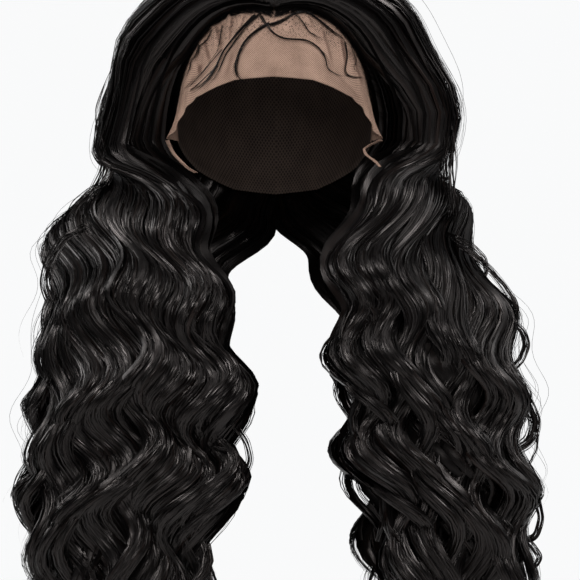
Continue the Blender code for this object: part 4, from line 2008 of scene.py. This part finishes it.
@dataclass
class EarTab:
    """The narrow tab that hangs from the edge of the lace and curls away from the cheek."""

    side: Side
    lace: LaceFront
    columns: int = 10
    rows: int = 60
    wall: float = 0.0004
    top_azimuth: float = 70.0
    width: float = 0.009
    stand: float = 0.010
    curl_height: float = 0.0006
    curl_turns: float = 9.0
    cut_width: float = 0.009
    cut_height: float = 0.032

    def places(self, across: Array, up: Array) -> Array:
        """The places of the tab.

        Args:
            across: Shares across it.
            up: Shares up it from its tip.

        Returns:
            The places.
        """
        _, top_stand = self.lace.edge(np.array(self.side.value * self.top_azimuth))
        latitude, _ = self.lace.edge(np.array(self.top_azimuth))
        latitude = float(latitude) - math.degrees(self.lace.seam_gap / HEAD.nape_drop)
        steps = TAB_STEPS[self.side]
        rows = [(self.top_azimuth, latitude, float(top_stand), self.width)]
        for step in steps:
            rows.append((step.azimuth, step.latitude, step.stand * self.stand, step.width * self.width))
        marks = np.linspace(1, 0, len(rows))[::-1]
        columns = [np.array(column)[::-1] for column in zip(*rows)]
        azimuth, level, stand, width = (self.curve(up, marks, column) for column in columns)
        sideways = (across - 0.5) * np.degrees(width / HEAD.half_width)
        ray = HEAD.ray(self.side.value * azimuth + sideways, level)
        curl = self.curl_height * np.sin(across * np.pi * 2 + up * self.curl_turns)
        return HEAD.point(ray, stand + curl * (1 - up))

    @staticmethod
    def curve(up: Array, marks: Array, column: Array, step: float = 0.05) -> Array:
        """A smooth curve through a column of the table.

        Args:
            up: Where it is read, as shares up the tab.
            marks: Where the column's values lie.
            column: The values.
            step: How far its corners are rounded on each side.

        Returns:
            The curve.
        """
        value = np.interp(up, marks, column)
        return (value * 2 + np.interp(up - step, marks, column) + np.interp(up + step, marks, column)) / 4

    def build(self, material: bpy.types.Material) -> None:
        """Makes and dresses the tab.

        Args:
            material: Its finish.
        """
        tab = sheet_grid(f"lace_tab_{self.side.word}", self.columns, self.rows)
        lay(tab, self.places, self.cut_width, self.cut_height)
        thicken(tab, self.wall)
        finish_piece(tab, material, [f"ear_tab_{self.side.word}"])


# Fine hair on the lace


class Wisp(NamedTuple):
    """A baby hair on the lace, by its columns and rows in a picture of 580 by 580."""

    name: str
    points: tuple[tuple[float, float], ...]
    hairs: int


WISPS = (
    Wisp("left_curl", (
        (255, 15), (247, 23), (239, 34), (230, 44), (223, 53), (220, 63), (216, 71), (206, 83),
        (194, 90), (187, 89),
    ), 20),
    Wisp("left_curl_back", (
        (262, 12), (250, 22), (243, 33), (233, 46), (226, 58), (222, 70), (210, 84), (196, 92),
    ), 8),
    Wisp("left_sweep", (
        (222, 50), (212, 62), (205, 71), (196, 78), (190, 83), (180, 90),
    ), 9),
    Wisp("left_low", (
        (218, 66), (208, 76), (198, 84), (184, 91), (179, 90),
    ), 6),
    Wisp("middle_left", (
        (270, 24), (260, 30), (249, 38), (242, 49), (238, 60), (236, 77), (244, 83), (254, 90),
    ), 18),
    Wisp("middle_left_back", (
        (264, 26), (252, 36), (245, 46), (239, 58), (234, 70), (238, 82),
    ), 7),
    Wisp("middle_right", (
        (261, 16), (267, 26), (270, 31), (274, 37), (282, 41), (293, 42), (302, 40), (309, 42),
        (318, 48), (324, 55), (330, 67),
    ), 17),
    Wisp("right_arch", (
        (271, 26), (283, 22), (291, 15), (300, 10), (306, 10), (313, 15), (319, 20), (330, 28),
        (339, 35), (349, 41),
    ), 16),
    Wisp("right_short", (
        (296, 15), (303, 24), (308, 33), (316, 38), (326, 40),
    ), 6),
    Wisp("right_tail", (
        (318, 47), (324, 58), (326, 70), (336, 76), (346, 74),
    ), 7),
    Wisp("right_fall", (
        (344, 39), (346, 49), (343, 62), (344, 74), (352, 75), (367, 74),
    ), 9),
    Wisp("right_temple", (
        (352, 44), (354, 56), (352, 66), (360, 74),
    ), 5),
    Wisp("temple_one", (
        (214, 28), (209, 35), (204, 42), (199, 49), (192, 62),
    ), 6),
    Wisp("temple_two", (
        (222, 24), (222, 30), (221, 45), (216, 54),
    ), 6),
    Wisp("temple_three", (
        (202, 40), (196, 52), (190, 64), (184, 76),
    ), 5),
)


@dataclass
class LaceHair:
    """The fine hair that is knotted into the lace: baby hairs, and roots along the hairline."""

    hair_width: float = 0.00034
    lift: float = 0.0014
    spread: float = 0.0007
    seed_step: int = 7
    wisp_steps: int = 26
    waist: float = 0.35
    cut: Span = (0.75, 1.0)
    most_rise: float = 0.0012
    wisp_widths: Span = (0.6, 1.2)
    roots: int = 2200
    root_steps: int = 12
    root_width: float = 0.00026
    root_widths: Span = (0.7, 1.3)
    root_station: float = 4.6
    root_station_power: float = 1.4
    root_run: Span = (0.25, 0.8)
    first_lane: float = 0.004
    setback: float = 0.050
    setback_power: float = 1.5
    lane_run: Span = (0.03, 0.08)
    rise: Span = (0.1, 0.6)
    rise_power: float = 1.3
    edge_lane: float = 0.03

    def wisp(self, row: Wisp, draw: np.random.Generator) -> Strands:
        """One baby hair, as a small bundle on the lace.

        Args:
            row: Its row of the table.
            draw: The random draws.

        Returns:
            The strands.
        """
        each = (row.hairs, 1)
        x, z = picture_curve(row.points, self.wisp_steps)
        share = np.linspace(0, 1, self.wisp_steps)
        gather = between(1.0, self.waist, np.sin(np.pi * share))
        offset = draw.normal(0, self.spread, (row.hairs, 2, 1)) * gather
        cuts = draw.uniform(*self.cut, each)[:, 0]
        x, z = (
            np.array([np.interp(share * cut, share, flat) for cut in cuts]) + offset[:, axis]
            for axis, flat in enumerate((x, z))
        )
        ray = HEAD.ray_at(x, z)
        rise = draw.uniform(0, self.most_rise, each) * np.sin(np.pi * share)
        paths = HEAD.point(ray, self.lift + rise + fold_lift(x, z))
        widths = self.hair_width * draw.uniform(*self.wisp_widths, each)
        widths = widths * tip_taper(share, slope=4, least=0.2)
        return Strands(paths, HEAD.outwards(ray), widths, np.zeros(widths.shape))

    def hairline(self, form: HairForm, draw: np.random.Generator) -> Strands:
        """Short roots that rise out of the lace along the edge of the hair.

        Args:
            form: The hair of that side.
            draw: The random draws.

        Returns:
            The strands.
        """
        each = (self.roots // 2, 1)
        start = draw.uniform(0.0, 1.0, each) ** self.root_station_power * self.root_station
        share = np.linspace(0, 1, self.root_steps)
        run = draw.uniform(*self.root_run, each)
        station = start + run * share
        setback = self.first_lane - self.setback * draw.uniform(0.0, 1.0, each) ** self.setback_power
        lane = setback + draw.uniform(*self.lane_run, each) * share
        rise = draw.uniform(*self.rise, each) * share**self.rise_power
        middle, outwards, thickness = form.slices(lane, station)
        depth = rise * np.clip(lane / self.edge_lane, 0, 1)
        base = middle - outwards * (thickness / 2 + form.cap_space - self.lift)[..., None]
        paths = base + outwards * (depth * thickness)[..., None]
        mirror = form.side.mirror
        widths = self.root_width * draw.uniform(*self.root_widths, each)
        widths = widths * tip_taper(share, slope=4, least=0.3)
        return Strands(paths * mirror, outwards * mirror, widths, np.zeros(widths.shape))

    def build(self, forms: list[HairForm], material: bpy.types.Material) -> None:
        """Makes and dresses the fine hair.

        Args:
            forms: The hair of each side.
            material: Its finish.
        """
        draw = np.random.default_rng(SEED + self.seed_step)
        nodes = [node for side in Side for node in Region.FRONT.nodes(side)]
        wisps = Strands.joined([self.wisp(row, draw) for row in WISPS])
        finish_piece(wisps.tubes("baby_hairs"), material, nodes)
        roots = Strands.joined([self.hairline(form, draw) for form in forms])
        finish_piece(roots.ribbons("hairline_roots", crown=0.0, columns=2), material, nodes)


# Studio


class SoftLight(NamedTuple):
    """A soft light: where it stands, its size and its power in watts."""

    name: str
    place: tuple[float, float, float]
    size: float
    power: float


LIGHTS = (
    SoftLight("key_light", (-1.05, -0.90, 1.05), 0.42, 15.0),
    SoftLight("fill_light", (1.30, -0.75, 0.75), 0.42, 14.0),
    SoftLight("front_light", (0.10, -1.60, 0.10), 0.50, 5.0),
    SoftLight("left_light", (-1.25, 0.20, 0.40), 0.70, 9.0),
    SoftLight("right_light", (1.25, 0.20, 0.40), 0.70, 4.0),
    SoftLight("top_light", (0.05, -0.45, 1.10), 0.60, 3.0),
    SoftLight("back_light", (0.0, 1.35, 0.45), 1.0, 12.0),
)


@dataclass
class Studio:
    """The pale floor, the lights and the camera."""

    eye: tuple[float, float, float] = (0.0115, -1.58, -0.2347)
    face_distance: float = 1.5
    frame_width: float = 0.4176
    sensor: float = 36.0
    floor_level: float = -0.62
    floor_size: float = 2.0
    aim: tuple[float, float, float] = (0.0, 0.0, -0.22)
    backdrop: tuple = tone(0.95, 0.955, 0.96)
    surround: tuple = tone(0.075, 0.075, 0.077)

    def build(self) -> None:
        """Makes the studio."""
        deselect_all()
        bpy.ops.mesh.primitive_plane_add(size=self.floor_size, location=(0.0, 0.0, self.floor_level))
        floor = bpy.context.object
        floor.name = "studio_floor"
        floor.data.materials.append(StudioFinish().material())
        for row in LIGHTS:
            self.light(row)
        self.camera()
        self.world()

    def light(self, row: SoftLight) -> None:
        """Adds one square area light that faces the wig.

        Args:
            row: Its row of the table.
        """
        data = bpy.data.lights.new(row.name, "AREA")
        data.size, data.energy = row.size, row.power
        lamp = bpy.data.objects.new(row.name, data)
        lamp.location = row.place
        lamp.rotation_mode = "QUATERNION"
        towards = Vector(self.aim) - Vector(row.place)
        lamp.rotation_quaternion = towards.to_track_quat("-Z", "Y")
        bpy.context.scene.collection.objects.link(lamp)

    def camera(self) -> None:
        """Adds the level camera in front of the wig."""
        data = bpy.data.cameras.new("camera")
        data.sensor_width = self.sensor
        data.lens = self.sensor * self.face_distance / self.frame_width
        camera = bpy.data.objects.new("camera", data)
        camera.location = self.eye
        camera.rotation_euler = (math.pi / 2, 0.0, 0.0)
        bpy.context.scene.collection.objects.link(camera)
        bpy.context.scene.camera = camera

    def world(self) -> None:
        """Sets a pale backdrop, and a dimmer even surround that lights the wig."""
        scene = bpy.context.scene
        world = bpy.data.worlds.new("studio")
        world.use_nodes = True
        nodes, links = world.node_tree.nodes, world.node_tree.links
        surround = nodes["Background"]
        surround.inputs["Color"].default_value = self.surround
        backdrop = nodes.new("ShaderNodeBackground")
        backdrop.inputs["Color"].default_value = self.backdrop
        seen = nodes.new("ShaderNodeLightPath")
        choice = nodes.new("ShaderNodeMixShader")
        links.new(seen.outputs["Is Camera Ray"], choice.inputs[0])
        links.new(surround.outputs[0], choice.inputs[1])
        links.new(backdrop.outputs[0], choice.inputs[2])
        links.new(choice.outputs[0], nodes["World Output"].inputs["Surface"])
        scene.world = world
        scene.view_settings.view_transform = "Standard"


def main() -> None:
    """Builds the wig's pieces in order, then the studio."""
    hair = HairFinish("hair_black").material()
    dull_black, dull_brown = tone(0.003, 0.0026, 0.0026), tone(0.006, 0.004, 0.0035)
    under = HairFinish("hair_under", dull_black, dull_brown, gloss=0.13).material()
    tan, tan_shade = tone(0.55, 0.36, 0.27), tone(0.120, 0.070, 0.050)
    lace_net = NetFinish("lace_tan", tan, tan_shade, mesh_size=0.0015, hole_cover=0.80, knots=0.95).material()
    brown, brown_shade = tone(0.110, 0.078, 0.062), tone(0.020, 0.013, 0.011)
    cap_net = NetFinish("cap_brown", brown, brown_shade, mesh_size=0.0030, hole_cover=1.0).material()
    StretchCap().build(cap_net)
    lace = LaceFront()
    lace.build(lace_net)
    for side in Side:
        EarTab(side, lace).build(lace_net)
    sides = [HairSide(side) for side in Side]
    for half in sides:
        half.build(hair, under)
    LaceHair().build([half.form for half in sides], under)
    Studio().build()


if __name__ == "__main__":
    main()
